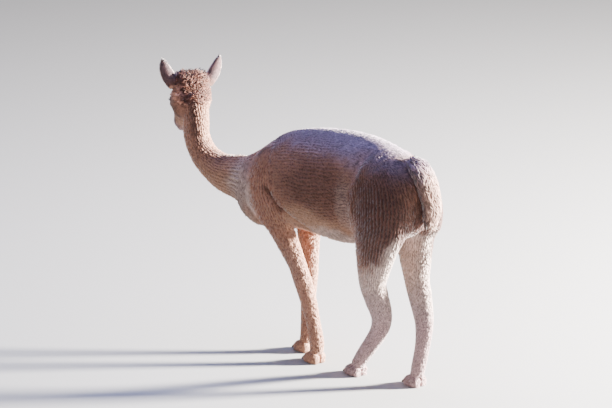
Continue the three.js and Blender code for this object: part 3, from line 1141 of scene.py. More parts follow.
def lie_of(points: Array, body: Body) -> Lie:
    """The part that each point is on, its place there and the lie of its coat.

    The parts' own directions are weighed by exp(-(gap / 18 mm)^2).
    """
    weight = np.empty((len(body.parts), len(points)))
    t, angle = np.empty_like(weight), np.empty_like(weight)
    flow = np.zeros_like(points)
    for i, loft in enumerate(body.parts):
        here = loft.local(points, body.offset)
        pull = {"leg_h": 3.0, "leg_f": 1.6}.get(loft.name[:5], 1.0)
        weight[i] = pull * np.exp(-((here["gap"] / 0.018) ** 2)) + 1e-9 / (1e-3 + np.abs(here["gap"]))
        t[i], angle[i] = here["t"], here["angle"]
        flow += here["along"] * weight[i][:, None]
    part = weight.argmax(0)
    every = np.arange(len(points))
    return Lie(part, t[part, every], angle[part, every], flow, weight[part, every] / weight.sum(0))


@dataclass
class Roots:
    """Tuft roots with everything that their tufts are made from, lengths in metres."""

    place: Array
    normal: Array
    flow: Array
    length: Array
    width: Array
    lift: Array
    tone: Array
    fall: Array
    group: Array
    chart: Array

    def pick(self, rows: Array) -> "Roots":
        """The roots of some rows only."""
        return Roots(*(getattr(self, name)[rows] for name in self.__dataclass_fields__))


def triangles_of(mesh: bpy.types.Mesh) -> tuple[Array, Array]:
    """Vertices and triangles of a mesh as arrays."""
    mesh.calc_loop_triangles()
    verts = np.empty(len(mesh.vertices) * 3)
    mesh.vertices.foreach_get("co", verts)
    tris = np.empty(len(mesh.loop_triangles) * 3, int)
    mesh.loop_triangles.foreach_get("vertices", tris)
    return verts.reshape(-1, 3), tris.reshape(-1, 3)


def mesh_object(
    name: str, verts: Array, faces: Array, normals: Array | None = None
) -> bpy.types.Object:
    """A smooth shaded mesh object at the origin, linked to the scene.

    Normals give a shading direction for each vertex, where the shape's own are too rough.
    """
    mesh = bpy.data.meshes.new(name)
    size = faces.shape[1]
    mesh.vertices.add(len(verts))
    mesh.vertices.foreach_set("co", verts.ravel().astype(np.float32))
    mesh.loops.add(faces.size)
    mesh.loops.foreach_set("vertex_index", faces.ravel().astype(np.int32))
    mesh.polygons.add(len(faces))
    mesh.polygons.foreach_set("loop_start", np.arange(0, faces.size, size, dtype=np.int32))
    mesh.update(calc_edges=True)
    mesh.polygons.foreach_set("use_smooth", np.ones(len(faces), bool))
    if normals is not None:
        free = mesh.attributes.new("custom_normal", "FLOAT_VECTOR", "POINT")
        free.data.foreach_set("vector", normals.ravel().astype(np.float32))
    mesh.update()
    return into_scene(name, mesh)


def put_numbers(mesh: bpy.types.Mesh, name: str, values: Array) -> None:
    """Keep one number or colour for each vertex under a name."""
    if values.ndim == 1:
        mesh.attributes.new(name, "FLOAT", "POINT").data.foreach_set("value", values.astype(np.float32))
        return
    rgba = np.ones((len(values), 4), np.float32)
    rgba[:, :3] = values
    mesh.attributes.new(name, "FLOAT_COLOR", "POINT").data.foreach_set("color", rgba.ravel())


def put_chart(mesh: bpy.types.Mesh, uv: Array) -> None:
    """Give a mesh its OFBake map from one place a vertex."""
    corner = np.empty(len(mesh.loops), int)
    mesh.loops.foreach_get("vertex_index", corner)
    layer = mesh.uv_layers.new(name="OFBake")
    layer.data.foreach_set("uv", uv[corner].ravel().astype(np.float32))


def strands(
    name: str,
    points: Array,
    normals: Array,
    one: Array,
    reach: Array,
    patch: Array,
    tone: Array,
    chart: Array,
) -> bpy.types.Object:
    """A piece of n strands of k points, with points and shading normals of shape (n, k, 3).

    All strands share their triangles, the reach of each point from root to tip and its patch of
    the chart, (k, 2) in 0..1. Each has its own tone and its own place on the chart.
    """
    n, k, _ = points.shape
    faces = (np.arange(n)[:, None, None] * k + one).reshape(-1, 3)
    obj = mesh_object(name, points.reshape(-1, 3), faces, normals.reshape(-1, 3))
    put_numbers(obj.data, "tone", np.repeat(tone, k, 0))
    put_numbers(obj.data, "reach", np.tile(reach, n))
    put_chart(obj.data, (chart[:, None] + (patch - 0.5) * 0.003).reshape(-1, 2))
    return obj


@dataclass
class Coat:
    """The fleece as solid tufts over the skin; the crown is a group after the parts' own."""

    form: Form
    marks: Markings
    noise: Lattice
    seed: int = 11

    @property
    def body(self) -> Body:
        """The form's body."""
        return self.form.body

    def on(self, lie: Lie, *names: str) -> Array:
        """Which points are on a part whose name starts with one of names."""
        return np.array([part.name.startswith(names) for part in self.body.parts])[lie.part]

    def scatter(self, mesh: bpy.types.Mesh) -> Roots:
        """Roots spread over the skin, one for each cover / (length x width) of its area."""
        rng = np.random.default_rng(self.seed)
        verts, tris = triangles_of(mesh)
        corners = verts[tris]
        middle = corners.mean(1)
        edges = corners[:, 1:] - corners[:, :1]
        area = np.linalg.norm(np.cross(edges[:, 0], edges[:, 1]), axis=1) / 2
        size, _ = self.sizes(middle, lie_of(middle, self.body))
        density = size[:, 3] / (size[:, 0] * size[:, 1]) * self.bare(middle)
        total = np.cumsum(area * density)
        count = int(total[-1])
        want = (np.arange(count) + rng.random(count)) / count * total[-1]
        row = np.minimum(np.searchsorted(total, want), len(tris) - 1)
        u, v = rng.random((2, count))
        over = u + v > 1
        u, v = np.where(over, 1 - u, u), np.where(over, 1 - v, v)
        c = corners[row]
        place = c[:, 0] + (c[:, 1] - c[:, 0]) * u[:, None] + (c[:, 2] - c[:, 0]) * v[:, None]
        return self.dress(self.form.settle(place), rng)

    def bare(self, p: Array) -> Array:
        """1 where tufts grow, 0 on the lids' edge, nose, lips, soles and the ears' deepest hollow."""
        body = self.body
        keep = smoothstep(0.003, 0.006, p[:, 2])
        for side in (1, -1):
            eye, gap = body.round_eye(p, side)
            keep = keep * (1 - (eye < NEAR_EYE) * (1 - smoothstep(0.0016, 0.0030, gap)))
            keep = keep * smoothstep(0.0200, 0.0212, eye) * smoothstep(1.3, 2.0, body.slit(p, side))
            ear = ear_loft(side).local(p, body.offset)
            cup = (ear["gap"] < 0.009) * (np.sin(ear["angle"]) < 0.15)
            keep = keep * (1 - cup * (1 - smoothstep(0.40, 0.50, ear["t"])))
        a, b, c = body.on_head(p).T
        nose = smoothstep(0.240, 0.247, a) * (c > -0.034) * (1 - smoothstep(0.009, 0.013, np.abs(b)))
        lips = (1 - smoothstep(0.0020, 0.0034, np.abs(c - body.lip_line(a)))) * (a > 0.184)
        return keep * (1 - np.maximum(nose, lips) * (a < 0.3) * (p[:, 0] > 0.4))

    def sizes(self, p: Array, lie: Lie) -> tuple[Array, Array]:
        """Length, width, lift in metres and cover of the tufts, and the group of each point."""
        size = np.array([cut_row(part.name) for part in self.body.parts])[lie.part]
        low = (self.on(lie, "leg") * (1 - smoothstep(0.24, 0.56, p[:, 2])))[:, None]
        size = size + (cut_row("shank") - size) * low
        a, _, c = self.body.on_head(p).T
        top = self.on(lie, "skull", "neck") & (c > 0.022) & (a < 0.085) & (a > -0.06)
        top |= (self.body.crown(tuple(p.T)) < 0.005) & (c > 0.01) & (a < 0.085)
        size[top] = cut_row("crown")
        fine = (self.on(lie, "skull") * ~top * smoothstep(0.06, 0.22, a))[:, None]
        size = size * (1 - fine * np.array([0.45, 0.4, 0.72, 0.0]))
        for side in (1, -1):
            eye, _ = self.body.round_eye(p, side)
            size[eye < 0.029] = cut_row("skull")
            lid = (1 - smoothstep(0.024, 0.036, eye))[:, None]
            size = size * (1 - lid * np.array([0.5, 0.4, 0.45, 0.0]))
        return size, np.where(top, len(self.body.parts), lie.part)

    def ridge(self, p: Array, lie: Lie) -> tuple[Array, Array]:
        """Height from 0 to 1 of the coat, and how steeply it falls across its lie, -1 to 1.

        Comb ridges, 0.5 + 0.5 cos(turns x lines), give way to grains of 8 mm.
        """
        lines = np.array([float(part.rows_of_comb) for part in self.body.parts])[lie.part]
        phase = lie.angle * lines + TURN * (0.45 * self.noise.at(p, 0.07) + 0.16 * self.noise.at(p + 9, 0.02))
        comb = 0.5 + 0.5 * np.cos(phase)
        comb = comb * (0.84 + 0.30 * self.noise.at(p + 6, 0.006))
        grain = np.clip(0.5 + 0.8 * self.noise.at(p + 5, 0.0085), 0, 1)
        x, _, z = (p - self.body.offset * MM).T
        trunk = self.on(lie, "trunk")
        loose = trunk * np.clip(smoothstep(0.12, -0.30, x) * smoothstep(0.72, 0.84, z), 0, 1)
        loose = np.maximum(loose, trunk * (1 - smoothstep(0.52, 0.62, z)))
        loose = np.maximum(loose, lines < 1)
        loose = np.maximum(loose, 1 - smoothstep(0.50, 0.64, lie.share))
        way = -np.array([part.flow for part in self.body.parts])[lie.part]
        return comb * (1 - loose) + grain * loose, np.sin(phase) * way * (1 - loose)

    def dress(self, p: Array, rng: np.random.Generator) -> Roots:
        """Roots with their directions, sizes and colours, the colours with painted shade in the comb's
        grooves and painted light on its crests.
        """
        lie = lie_of(p, self.body)
        size, group = self.sizes(p, lie)
        normal = self.form.normal(p)
        flow = unit(lie.flow - normal * dot(lie.flow, normal)[:, None])
        across = np.cross(normal, flow)
        sway = 0.20 * self.noise.at(p + 1, 0.03) + 0.16 * rng.normal(size=len(p))
        crown = group == len(self.body.parts)
        sway = sway + crown * (2.6 * self.noise.at(p + 2, 0.011))
        flow = flow * np.cos(sway)[:, None] + across * np.sin(sway)[:, None]
        ridge, fall = self.ridge(p, lie)
        wild = rng.uniform(0.85, 1.15, (len(p), 3))
        length, width = size[:, 0] * wild[:, 0], size[:, 1] * wild[:, 1]
        lift = size[:, 2] * (0.50 + 0.50 * ridge) * (0.9 + 0.1 * wild[:, 2])
        tone = self.marks.at(p, self.noise)
        # Painted shade in the comb's grooves and painted light on its crests, with a little random tone.
        shade = (0.36 + 0.80 * ridge) * rng.normal(1, 0.06, len(p)) * (1 + 0.08 * self.noise.at(p + 4, 0.03))
        tone = tone * np.clip(shade, 0.4, 1.5)[:, None]
        chart = np.stack([lie.t, lie.angle / TURN + 0.5], 1)
        return Roots(p, normal, flow, length, width, lift, tone, fall, group, chart)

    def tufts(self, name: str, r: Roots) -> bpy.types.Object:
        """Spindles of ten triangles: a ring of three at the root, one at 45% and a tip.

        Points are root + flow L s + normal H g(s), with g(0.45) = 0.72 and g(1) = 1.
        """
        across = np.cross(r.normal, r.flow)
        length, lift, width = r.length[:, None], r.lift[:, None], r.width[:, None]
        base = r.place - r.normal * 0.0012 - r.flow * 0.0006
        gather = -across * r.fall[:, None] * 0.0014
        mid = r.place + r.flow * length * 0.45 + r.normal * lift * 0.72 + gather * 0.6
        points = np.empty((len(r.place), 7, 3))
        for ring, centre, share in ((0, base, 0.42), (3, mid, 0.5)):
            up = r.normal * width * share * 0.55
            points[:, ring] = centre + up
            points[:, ring + 1] = centre + across * width * share - up * 0.5
            points[:, ring + 2] = centre - across * width * share - up * 0.5
        points[:, 6] = r.place + r.flow * length + r.normal * lift + gather
        points[..., 2] = np.maximum(points[..., 2], 0.0006)
        one = [(0, 3, 1), (1, 3, 4), (1, 4, 2), (2, 4, 5), (2, 5, 0), (0, 5, 3)]
        one += [(3, 6, 4), (4, 6, 5), (5, 6, 3), (0, 1, 2)]
        lean = np.zeros_like(points)
        lean[:, 1] = lean[:, 4] = across
        lean[:, 2] = lean[:, 5] = -across
        lean[:, 6] = r.flow
        steep = across * r.fall[:, None] * 0.75
        normals = unit(r.normal[:, None] + lean * 0.5 + steep[:, None])
        reach = np.array([0, 0, 0, 0.45, 0.45, 0.45, 1.0])
        patch = np.array([[0, 0.5], [1, 0.3], [1, 0.7], [2, 0.2], [2, 0.5], [2, 0.8], [3, 0.5]]) / [3, 1]
        low, high = r.chart.min(0), r.chart.max(0)
        chart = 0.01 + 0.98 * (r.chart - low) / np.maximum(high - low, 1e-6)
        return strands(name, points, normals, np.array(one), reach, patch, r.tone, chart)

    def pieces(self, roots: Roots) -> list[bpy.types.Object]:
        """One coat piece for each part, cut along its length where it has too many tufts."""
        names = [part.name for part in self.body.lofts]
        names += [f"toe_{number + 1}" for number in range(len(self.body.toes))] + ["crown"]
        made = []
        for group in np.unique(roots.group):
            rows = np.flatnonzero(roots.group == group)
            rows = rows[np.argsort(roots.chart[rows, 0])]
            parts = np.array_split(rows, math.ceil(len(rows) / MOST_TUFTS))
            for number, part in enumerate(parts, 1):
                tag = f"_{number}" if len(parts) > 1 else ""
                made.append(self.tufts(f"coat_{names[group]}{tag}", roots.pick(part)))
        return made


LOCK_SIDES = 4
ALONG = np.linspace(0, 1, 9)  # places of a lock's rings along it
STEPS = ALONG[None, :, None]


def locks(
    name: str, paths: Array, radius: Array, tone: Array, chart: Array, normals: Array
) -> bpy.types.Object:
    """Curled or hanging locks as closed tubes, as thick as radius sin(pi (0.12 + 0.86 s))^0.6.

    For n locks, paths are (n, steps, 3) and radius (n,) in metres, chart is (n, 2) in 0..1 and
    normals are the skin's outward directions.
    """
    along = unit(np.gradient(paths, axis=1))
    side = unit(np.cross(along, normals[:, None] + 0.3 * np.roll(along, 1, axis=2)))
    up = np.cross(side, along)
    girth = radius[:, None] * np.sin(math.pi * (0.12 + 0.86 * ALONG)) ** 0.6
    a = np.arange(LOCK_SIDES) / LOCK_SIDES * TURN
    ring = side[:, :, None] * np.cos(a)[:, None] + up[:, :, None] * np.sin(a)[:, None]

    def with_ends(rings: Array, start: Array, end: Array) -> Array:
        """The points of each lock in one row, with its two ends last."""
        return np.concatenate([rings.reshape(len(paths), -1, 3), start, end], 1)

    points = with_ends(paths[:, :, None] + ring * girth[:, :, None, None], paths[:, :1], paths[:, -1:])
    shade = unit(with_ends(ring, -along[:, :1], along[:, -1:]) * 0.8 + normals[:, None] * 0.7)
    reach = np.concatenate([np.repeat(ALONG, LOCK_SIDES), [0.0, 1.0]])
    spread = np.concatenate([np.tile(a / TURN, len(ALONG)), [0.5, 0.5]])
    one = tube_faces(len(ALONG), LOCK_SIDES)[:, [0, 2, 1]]
    patch = np.stack([reach, spread], 1)
    return strands(name, points, shade, one, reach, patch, tone, 0.01 + 0.98 * chart)


@dataclass
class Dressing:
    """Ringlets on the crown and nape, long locks on the tail, and the lashes."""

    body: Body
    seed: int = 23

    def pick(self, roots: Roots, where: Array, count: int) -> Roots:
        """Up to count of the roots for which where is true, evenly along the list."""
        rows = np.flatnonzero(where)
        step = max(len(rows) / count, 1.0)
        return roots.pick(rows[np.arange(0, len(rows), step).astype(int)])

    def ringlets(self, roots: Roots, count: int) -> bpy.types.Object:
        """Curls: root + n h s + c (n sin a + u (1 - cos a)) + b w s, with a = 1.35 turns x s."""
        rel = roots.place - self.body.place(0, 0, 0)
        a, _, c = (rel @ HEAD.axes.T).T
        woolly = (rel[:, 2] > -0.042) & (np.linalg.norm(rel, axis=1) < 0.125)
        woolly &= (a < 0.088) & ((c > 0.016) | (a < 0.012)) & (roots.lift > 0.0024)
        r = self.pick(roots, woolly, count)
        n = (len(r.place), 1, 1)
        rng = np.random.default_rng(self.seed)
        turn = rng.uniform(0, TURN, n)[:, 0]
        u = r.flow * np.cos(turn) + np.cross(r.normal, r.flow) * np.sin(turn)
        b = np.cross(r.normal, u)
        bend = TURN * rng.uniform(1.0, 1.45, n) * STEPS
        curl = rng.uniform(0.0028, 0.0042, n)
        rise = rng.uniform(0.0035, 0.0115, n)
        drift = rng.normal(0, 0.0022, n)
        path = r.place[:, None] - r.normal[:, None] * 0.001
        path = path + r.normal[:, None] * (rise * STEPS + curl * np.sin(bend))
        path = path + u[:, None] * curl * (1 - np.cos(bend)) + b[:, None] * drift * STEPS
        tone = r.tone * rng.uniform(0.6, 1.9, n)[:, 0]
        off = self.body.on_head(r.place)
        round_head = np.arctan2(off[:, 1], off[:, 2]) / TURN + 0.5
        chart = np.clip(np.stack([(off[:, 0] + 0.13) / 0.26, round_head], 1), 0, 1)
        return locks("coat_ringlets", path, rng.uniform(0.0021, 0.0030, len(tone)), tone, chart, r.normal)

    def lashes(self, side: int, count: int = 26) -> bpy.types.Object:
        """Lashes from the upper lid's edge: edge + out L s + up L (0.7 s^2 - 0.5 s)."""
        rng = np.random.default_rng(self.seed + 7 * side)
        out, nose, up = axes = self.body.eye_axes(side)
        m = np.linspace(-0.0125, 0.0125, count) + rng.normal(0, 0.0003, count)
        half, height = OPENING
        v = 0.08 * m - 0.0006 + height * (1 - (m / half) ** 2) + 0.0006
        w = np.sqrt((LID_RADIUS + 0.0002) ** 2 - m * m - v * v)
        edge = self.body.eye_middle(side) + np.stack([w, m, v], 1) @ axes
        length = (0.0068 - 0.002 * np.abs(m / 0.0125) * rng.uniform(0.8, 1.2, count))[:, None, None]
        fan = nose * (m / 0.0125 * 0.55)[:, None]
        path = edge[:, None] + (out + fan[:, None]) * length * STEPS
        path = path + up * length * (0.7 * STEPS * STEPS - 0.5 * STEPS)
        tone = np.tile(srgb(40, 28, 26), (count, 1))
        chart = np.stack([np.linspace(0.1, 0.9, count), np.full(count, 0.5)], 1)
        thin = np.full(count, 0.00042)
        return locks(sided("lashes", side), path, thin, tone, chart, np.tile(out, (count, 1)))

    def tail(self, roots: Roots, count: int) -> bpy.types.Object:
        """Wavy locks lying down the tail: root + f L s + n h sin(pi s)^0.5 + b w sin(2.5 turns s)."""
        r = self.pick(roots, roots.group == self.body.parts.index(TAIL), count)
        n = (len(r.place), 1, 1)
        rng = np.random.default_rng(self.seed + 1)
        length = rng.uniform(0.022, 0.038, n)
        wave = rng.uniform(0.0008, 0.0024, n)
        start = rng.uniform(0, TURN, n)
        path = r.place[:, None] + r.flow[:, None] * length * STEPS
        path = path + r.normal[:, None] * (0.0075 * np.sin(math.pi * np.clip(STEPS, 0, 0.9)) ** 0.5 + 0.001)
        across = np.cross(r.normal, r.flow)[:, None]
        path = path + across * wave * np.sin(start + 2.5 * math.pi * STEPS)
        tone = r.tone * rng.uniform(0.75, 1.5, n)[:, 0]
        low, high = r.chart.min(0), r.chart.max(0)
        chart = (r.chart - low) / np.maximum(high - low, 1e-6)
        return locks("coat_tail_locks", path, rng.uniform(0.0016, 0.0026, len(tone)), tone, chart, r.normal)


# ---------------------------------------------------------------- finishes


class Wire:
    """A value socket that takes part in arithmetic, adding the Math nodes it needs."""

    def __init__(self, graph: "Graph", socket: bpy.types.NodeSocket) -> None:
        """Hold a socket of a graph."""
        self.graph, self.socket = graph, socket

    def math(self, operation: str, a: "Wire | float", b: "Wire | float") -> "Wire":
        """One Math node on two values."""
        return self.graph.node("ShaderNodeMath", {"operation": operation}, {0: a, 1: b})[0]

    def __add__(self, other: "Wire | float") -> "Wire":
        """self + other, in either order."""
        return self.math("ADD", self, other)

    def __mul__(self, other: "Wire | float") -> "Wire":
        """self x other, in either order."""
        return self.math("MULTIPLY", self, other)

    __radd__ = __add__
    __rmul__ = __mul__


class Graph:
    """The nodes of one material."""

    def __init__(self, name: str) -> None:
        """Start a material with a Principled shader."""
        self.material = bpy.data.materials.new(name)
        self.material.use_nodes = True
        self.tree = self.material.node_tree
        self.shader = next(n for n in self.tree.nodes if n.type == "BSDF_PRINCIPLED")

    def node(self, kind: str, settings: dict[str, object], inputs: dict[int | str, object]) -> list[Wire]:
        """Add a node with attributes, then values or wires for its sockets, and return its outputs."""
        made = self.tree.nodes.new(kind)
        for key, value in settings.items():
            setattr(made, key, value)
        for key, value in inputs.items():
            if isinstance(value, Wire):
                self.tree.links.new(value.socket, made.inputs[key])
            else:
                made.inputs[key].default_value = value
        return [Wire(self, out) for out in made.outputs]

    def named(self, name: str) -> list[Wire]:
        """Read a mesh's own attribute: colour, vector, number."""
        return self.node("ShaderNodeAttribute", {"attribute_name": name}, {})

    def toned(self, shade: Wire) -> Wire:
        """The mesh's own colours, times a shade about 1."""
        return self.mix(1.0, self.named("tone")[0], self.grey(shade), "MULTIPLY")

    def noise(self, scale: float, detail: float) -> Wire:
        """Noise over the object's own coordinates, about 0.5."""
        where = self.node("ShaderNodeTexCoord", {}, {})[3]
        return self.node("ShaderNodeTexNoise", {}, {"Vector": where, "Scale": scale, "Detail": detail})[0]

    def mix(self, share: Wire | float, a: object, b: object, blend: str = "MIX") -> Wire:
        """Two colours mixed by a share."""
        settings = {"data_type": "RGBA", "blend_type": blend, "clamp_factor": True}
        return self.node("ShaderNodeMix", settings, {0: share, 6: a, 7: b})[2]

    def grey(self, value: Wire) -> Wire:
        """A number as a colour of three equal parts."""
        return self.node("ShaderNodeCombineColor", {}, {0: value, 1: value, 2: value})[0]

    def bump(self, height: Wire, distance: float, strength: float = 1.0) -> Wire:
        """A normal from a height in units of distance."""
        inputs = {"Height": height, "Distance": distance, "Strength": strength}
        return self.node("ShaderNodeBump", {}, inputs)[0]

    def finish(self, **sockets: object) -> bpy.types.Material:
        """Set the shader's sockets by name, with _ for spaces."""
        for name, value in sockets.items():
            socket = self.shader.inputs[name.replace("_", " ")]
            if isinstance(value, Wire):
                self.tree.links.new(value.socket, socket)
            else:
                socket.default_value = value
        return self.material


# Painted shade at the tufts' roots, rising to a lighter colour at their tips.
DEPTH_SHADE, TIP_LIGHT = 0.62, 1.12


def fleece_finish(name: str) -> bpy.types.Material:
    """Wool on the tufts: their own colour, with painted shade in its depth and lighter at its tips."""
    g = Graph(name)
    shade = DEPTH_SHADE + g.named("reach")[2] * (TIP_LIGHT - DEPTH_SHADE)
    return g.finish(
        Base_Color=g.toned(shade * (0.86 + g.noise(420.0, 2.0) * 0.28)),
        Roughness=0.82,
        Sheen_Weight=0.35,
        Sheen_Roughness=0.45,
        Sheen_Tint=(1.0, 0.96, 0.94, 1.0),
        Specular_IOR_Level=0.25,
    )


def hide_finish() -> bpy.types.Material:
    """The skin under the coat, in the coat's colours darkened as painted shade under the fleece, with fine
    short hair as bump.
    """
    g = Graph("hide")
    fine, broad = g.noise(900.0, 3.0), g.noise(160.0, 2.0)
    return g.finish(
        # Painted shade: the skin's colours multiplied by about 0.66 to 1.02.
        Base_Color=g.toned(0.66 + fine * 0.22 + broad * 0.14),
        Roughness=0.62 + fine * 0.25,
        Sheen_Weight=0.15,
        Normal=g.bump(fine * 0.7 + broad * 0.3, 0.0012, 0.6),
    )


def horn_finish() -> bpy.types.Material:
    """A toenail: dark horn, striped along its length and worn pale at its edge."""
    g = Graph("nail")
    where = g.node("ShaderNodeTexCoord", {}, {})[3]
    thin = g.node("ShaderNodeMapping", {}, {"Vector": where, "Scale": (60.0, 900.0, 500.0)})[0]
    streak = g.node("ShaderNodeTexNoise", {}, {"Vector": thin, "Scale": 1.0, "Detail": 3.0})[0]
    colour = g.mix(streak, (*srgb(42, 34, 31), 1.0), (*srgb(98, 82, 72), 1.0))
    return g.finish(
        Base_Color=colour, Roughness=0.34 + streak * 0.25, Normal=g.bump(streak, 0.0006, 0.5)
    )


def eye_finish() -> bpy.types.Material:
    """A wet eye under a clear coat, coloured by the eyeball's own attribute."""
    g = Graph("eye")
    grain = g.noise(1500.0, 3.0)
    return g.finish(
        Base_Color=g.toned(0.75 + grain * 0.5),
        Roughness=0.28 + grain * 0.1,
        Coat_Weight=0.1,
        Coat_Roughness=0.03,
        IOR=1.18,
    )


# ---------------------------------------------------------------- eyes and nails


def eyeball(body: Body, side: int) -> bpy.types.Object:
    """One eyeball with a bulging cornea, a brown iris and a level pupil.

    It is a grid over its own sphere. With u the angle off the line of sight, its radius is
    r (1 + 0.035 exp(-(u / 0.62)^4)). The pupil is the ellipse (m / 8)^2 + (v / 4)^2 < 1 and the
    iris reaches 14.8 mm.
    """
    rows, sides = 40, 64
    u = np.linspace(0, 1, rows)[:, None] ** 1.25 * math.pi
    a = np.arange(sides)[None] / sides * TURN
    axes = body.eye_axes(side)
    r = EYE_RADIUS * (1 + 0.035 * np.exp(-((u / 0.62) ** 4)))
    local = np.stack([np.cos(u) + 0 * a, np.sin(u) * np.cos(a), np.sin(u) * np.sin(a)], -1)
    ring = (local * r[..., None])[1:-1].reshape(-1, 3)
    q = np.vstack([ring, [[r[0, 0], 0, 0], [-r[-1, 0], 0, 0]]])
    faces = tube_faces(rows - 2, sides)[:, [0, 2, 1]]
    if np.linalg.det(axes) < 0:
        faces = faces[:, ::-1]
    obj = mesh_object(sided("eyeball", side), body.eye_middle(side) + q @ axes, faces)
    m, v = q[:, 1] / MM, q[:, 2] / MM
    off = np.hypot(m, v)
    front = q[:, 0] > 0
    pupil = front * (1 - smoothstep(0.85, 1.1, np.hypot(m / 8.0, v / 4.0)))
    iris = front * (1 - smoothstep(14.2, 15.4, off))
    streak = 0.5 + 0.5 * np.sin(np.arctan2(v, m) * 37)
    tone = np.tile(srgb(38, 27, 24), (len(q), 1))
    brown = srgb(46, 27, 18) * (0.8 + 0.4 * streak[:, None])
    tone = tone + (brown - tone) * iris[:, None]
    rim = front * smoothstep(12.5, 14.0, off) * (1 - smoothstep(14.8, 16.0, off))
    tone = tone * (1 - 0.75 * rim[:, None])
    tone = tone + (srgb(8, 7, 9) - tone) * pupil[:, None]
    put_numbers(obj.data, "tone", tone)
    return obj


def nail(body: Body, x: float, y: float, name: str) -> bpy.types.Object:
    """A toenail as a smooth loft."""
    verts, faces = nail_loft(x, y).surface(28, 30, body.offset)
    verts[:, 2] = np.maximum(verts[:, 2], 0.0002)
    return mesh_object(name, verts, faces)


# ---------------------------------------------------------------- studio


def hang_lamp(
    target: Vector, name: str, towards: Vector, distance: float, size: float, power: float, colour: tuple
) -> None:
    """A soft square light aimed at the model from a direction."""
    light = bpy.data.lights.new(name, "AREA")
    light.shape, light.size, light.energy, light.color = "SQUARE", size, power, colour
    obj = into_scene(name, light)
    way = towards.normalized()
    obj.location = target + way * distance
    obj.rotation_euler = (-way).to_track_quat("-Z", "Y").to_euler()


@dataclass(frozen=True)
class Studio:
    """Camera, floor and lights."""

    azimuth: float = 227.0
    elevation: float = 15.0
    distance: float = 15.0
    pixels_per_metre: float = 270.0
    frame_width: int = 612
    off_middle: tuple[float, float] = (32.0, 31.5)

    def camera(self, target: Vector) -> tuple[Vector, Vector, Vector]:
        """Place the camera so that target shows off_middle pixels right of and below the middle.

        Returns the camera's right, up and back directions.
        """
        a, e = math.radians(self.azimuth), math.radians(self.elevation)
        back = Vector((math.sin(a) * math.cos(e), -math.cos(a) * math.cos(e), math.sin(e)))
        right = Vector((math.cos(a), math.sin(a), 0))
        up = back.cross(right)
        dx, dy = (v / self.pixels_per_metre for v in self.off_middle)
        aim = target - right * dx + up * dy
        data = bpy.data.cameras.new("camera")
        data.lens = 36 * self.distance / (self.frame_width / self.pixels_per_metre)
        data.clip_end = 200
        obj = into_scene("camera", data)
        obj.location = aim + back * self.distance
        obj.rotation_euler = back.to_track_quat("Z", "Y").to_euler()
        bpy.context.scene.camera = obj
        return right, up, back

    def floor(self) -> None:
        """A wide flat floor, pale and matt."""
        corners = np.array([[-40, -40, 0], [40, -40, 0], [40, 40, 0], [-40, 40, 0]], float)
        obj = mesh_object("floor", corners, np.array([[0, 1, 2, 3]]))
        finish = Graph("floor").finish(Base_Color=(*srgb(148, 147, 146), 1.0), Roughness=0.9)
        obj.data.materials.append(finish)
        obj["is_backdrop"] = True

    def light(self, target: Vector, right: Vector, back: Vector) -> None:
        """A low key from the right, cool light from above and a warm glow low on the left."""
        ahead = Vector((-back.x, -back.y, 0)).normalized()
        key = right * 1.0 + ahead * 0.07 + Vector((0, 0, 0.18))
        fill = -right * 0.7 - ahead * 0.75 + Vector((0, 0, 0.7))
        top = ahead * 0.15 + Vector((0, 0, 1))
        low = -right + ahead * 0.1 + Vector((0, 0, 0.12))
        for lamp in (
            ("key", key, 6.0, 0.7, 14000.0, (1.0, 0.95, 0.89)),
            ("fill", fill, 6.0, 4.0, 115.0, (0.72, 0.76, 1.0)),
            ("top", top, 5.0, 4.0, 560.0, (0.42, 0.50, 1.0)),
            ("bounce", low, 5.0, 3.0, 60.0, (1.0, 0.72, 0.48)),
        ):
            hang_lamp(target, *lamp)
        world = bpy.data.worlds.new("room")
        world.use_nodes = True
        sky = next(n for n in world.node_tree.nodes if n.type == "BACKGROUND")
        sky.inputs["Color"].default_value = (0.76, 0.82, 1.0, 1.0)
        sky.inputs["Strength"].default_value = 0.17
        bpy.context.scene.world = world


# ---------------------------------------------------------------- the whole


class Slot(Enum):
    """The record's finishes."""

    FLEECE = "fleece"
    PALE = "pale_fleece"
    EYE = "eye"
    NAIL = "nail"


FLESH = ("trunk", "neck", "head", "tail", "ear_left", "ear_right")


def keep(obj: bpy.types.Object, slot: Slot, material: bpy.types.Material) -> None:
    """Fix a piece to the model and give it its finish."""
    if not obj.data.materials:
        obj.data.materials.append(material)
    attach(obj, "root")
    LOG.info("%s: %d faces", obj.name, len(obj.data.polygons))


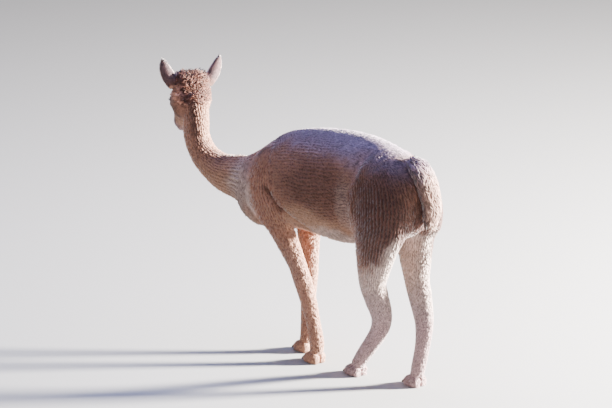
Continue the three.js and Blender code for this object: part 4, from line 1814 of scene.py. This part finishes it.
def main() -> None:
    """Build the alpaca, its coat and the studio."""
    logging.basicConfig(level=logging.INFO, format="%(message)s")
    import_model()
    low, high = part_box("eye_left")
    offset = (np.array(low) + np.array(high)) / 2 / MM - HEAD.point(*EYE_AT)
    studio = Studio()
    target = Vector(offset * MM) + Vector((0, 0, 0.5))
    right, _, back = studio.camera(target)
    studio.floor()
    studio.light(target, right, back)

    body = Body(offset)
    form = Form(body)
    noise = Lattice(5)
    marks = Markings(body)
    skin_mesh = form.skin()
    skin = into_scene("skin", skin_mesh)
    skin_mesh.polygons.foreach_set("use_smooth", np.ones(len(skin_mesh.polygons), bool))
    verts, _ = triangles_of(skin_mesh)
    put_numbers(skin_mesh, "tone", marks.at(verts, noise))
    keep(skin, Slot.FLEECE, hide_finish())
    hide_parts(*FLESH, *(f"{part}_{leg}" for leg in LEGS for part in ("leg", "foot")))

    wet = eye_finish()
    for side in (1, -1):
        eye = eyeball(body, side)
        keep(eye, Slot.EYE, wet)
        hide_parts("eye_left" if side > 0 else "eye_right")
    horn = horn_finish()
    for number, (x, y) in enumerate(body.toe_places()):
        leg = list(LEGS)[number // 2]
        piece = nail(body, x, y, f"toenail_{leg}_{number % 2 + 1}")
        keep(piece, Slot.NAIL, horn)
        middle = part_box(f"nail_{leg}_1")
        nearest = 1 if abs((middle[0].y + middle[1].y) / 2 - (y + offset[1]) * MM) < 0.008 else 2
        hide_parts(f"nail_{leg}_{nearest}")

    coat = Coat(form, marks, noise)
    roots = coat.scatter(skin_mesh)
    LOG.info("%d tufts", len(roots.place))
    fleece, pale = fleece_finish("fleece"), fleece_finish("pale_fleece")
    for piece in coat.pieces(roots):
        low_leg = "toe" in piece.name
        keep(piece, Slot.PALE if low_leg else Slot.FLEECE, pale if low_leg else fleece)

    dressing = Dressing(body)
    keep(dressing.ringlets(roots, RINGLETS), Slot.FLEECE, fleece)
    keep(dressing.tail(roots, TAIL_LOCKS), Slot.FLEECE, fleece)
    for side in (1, -1):
        keep(dressing.lashes(side), Slot.FLEECE, fleece)


if __name__ == "__main__":
    main()
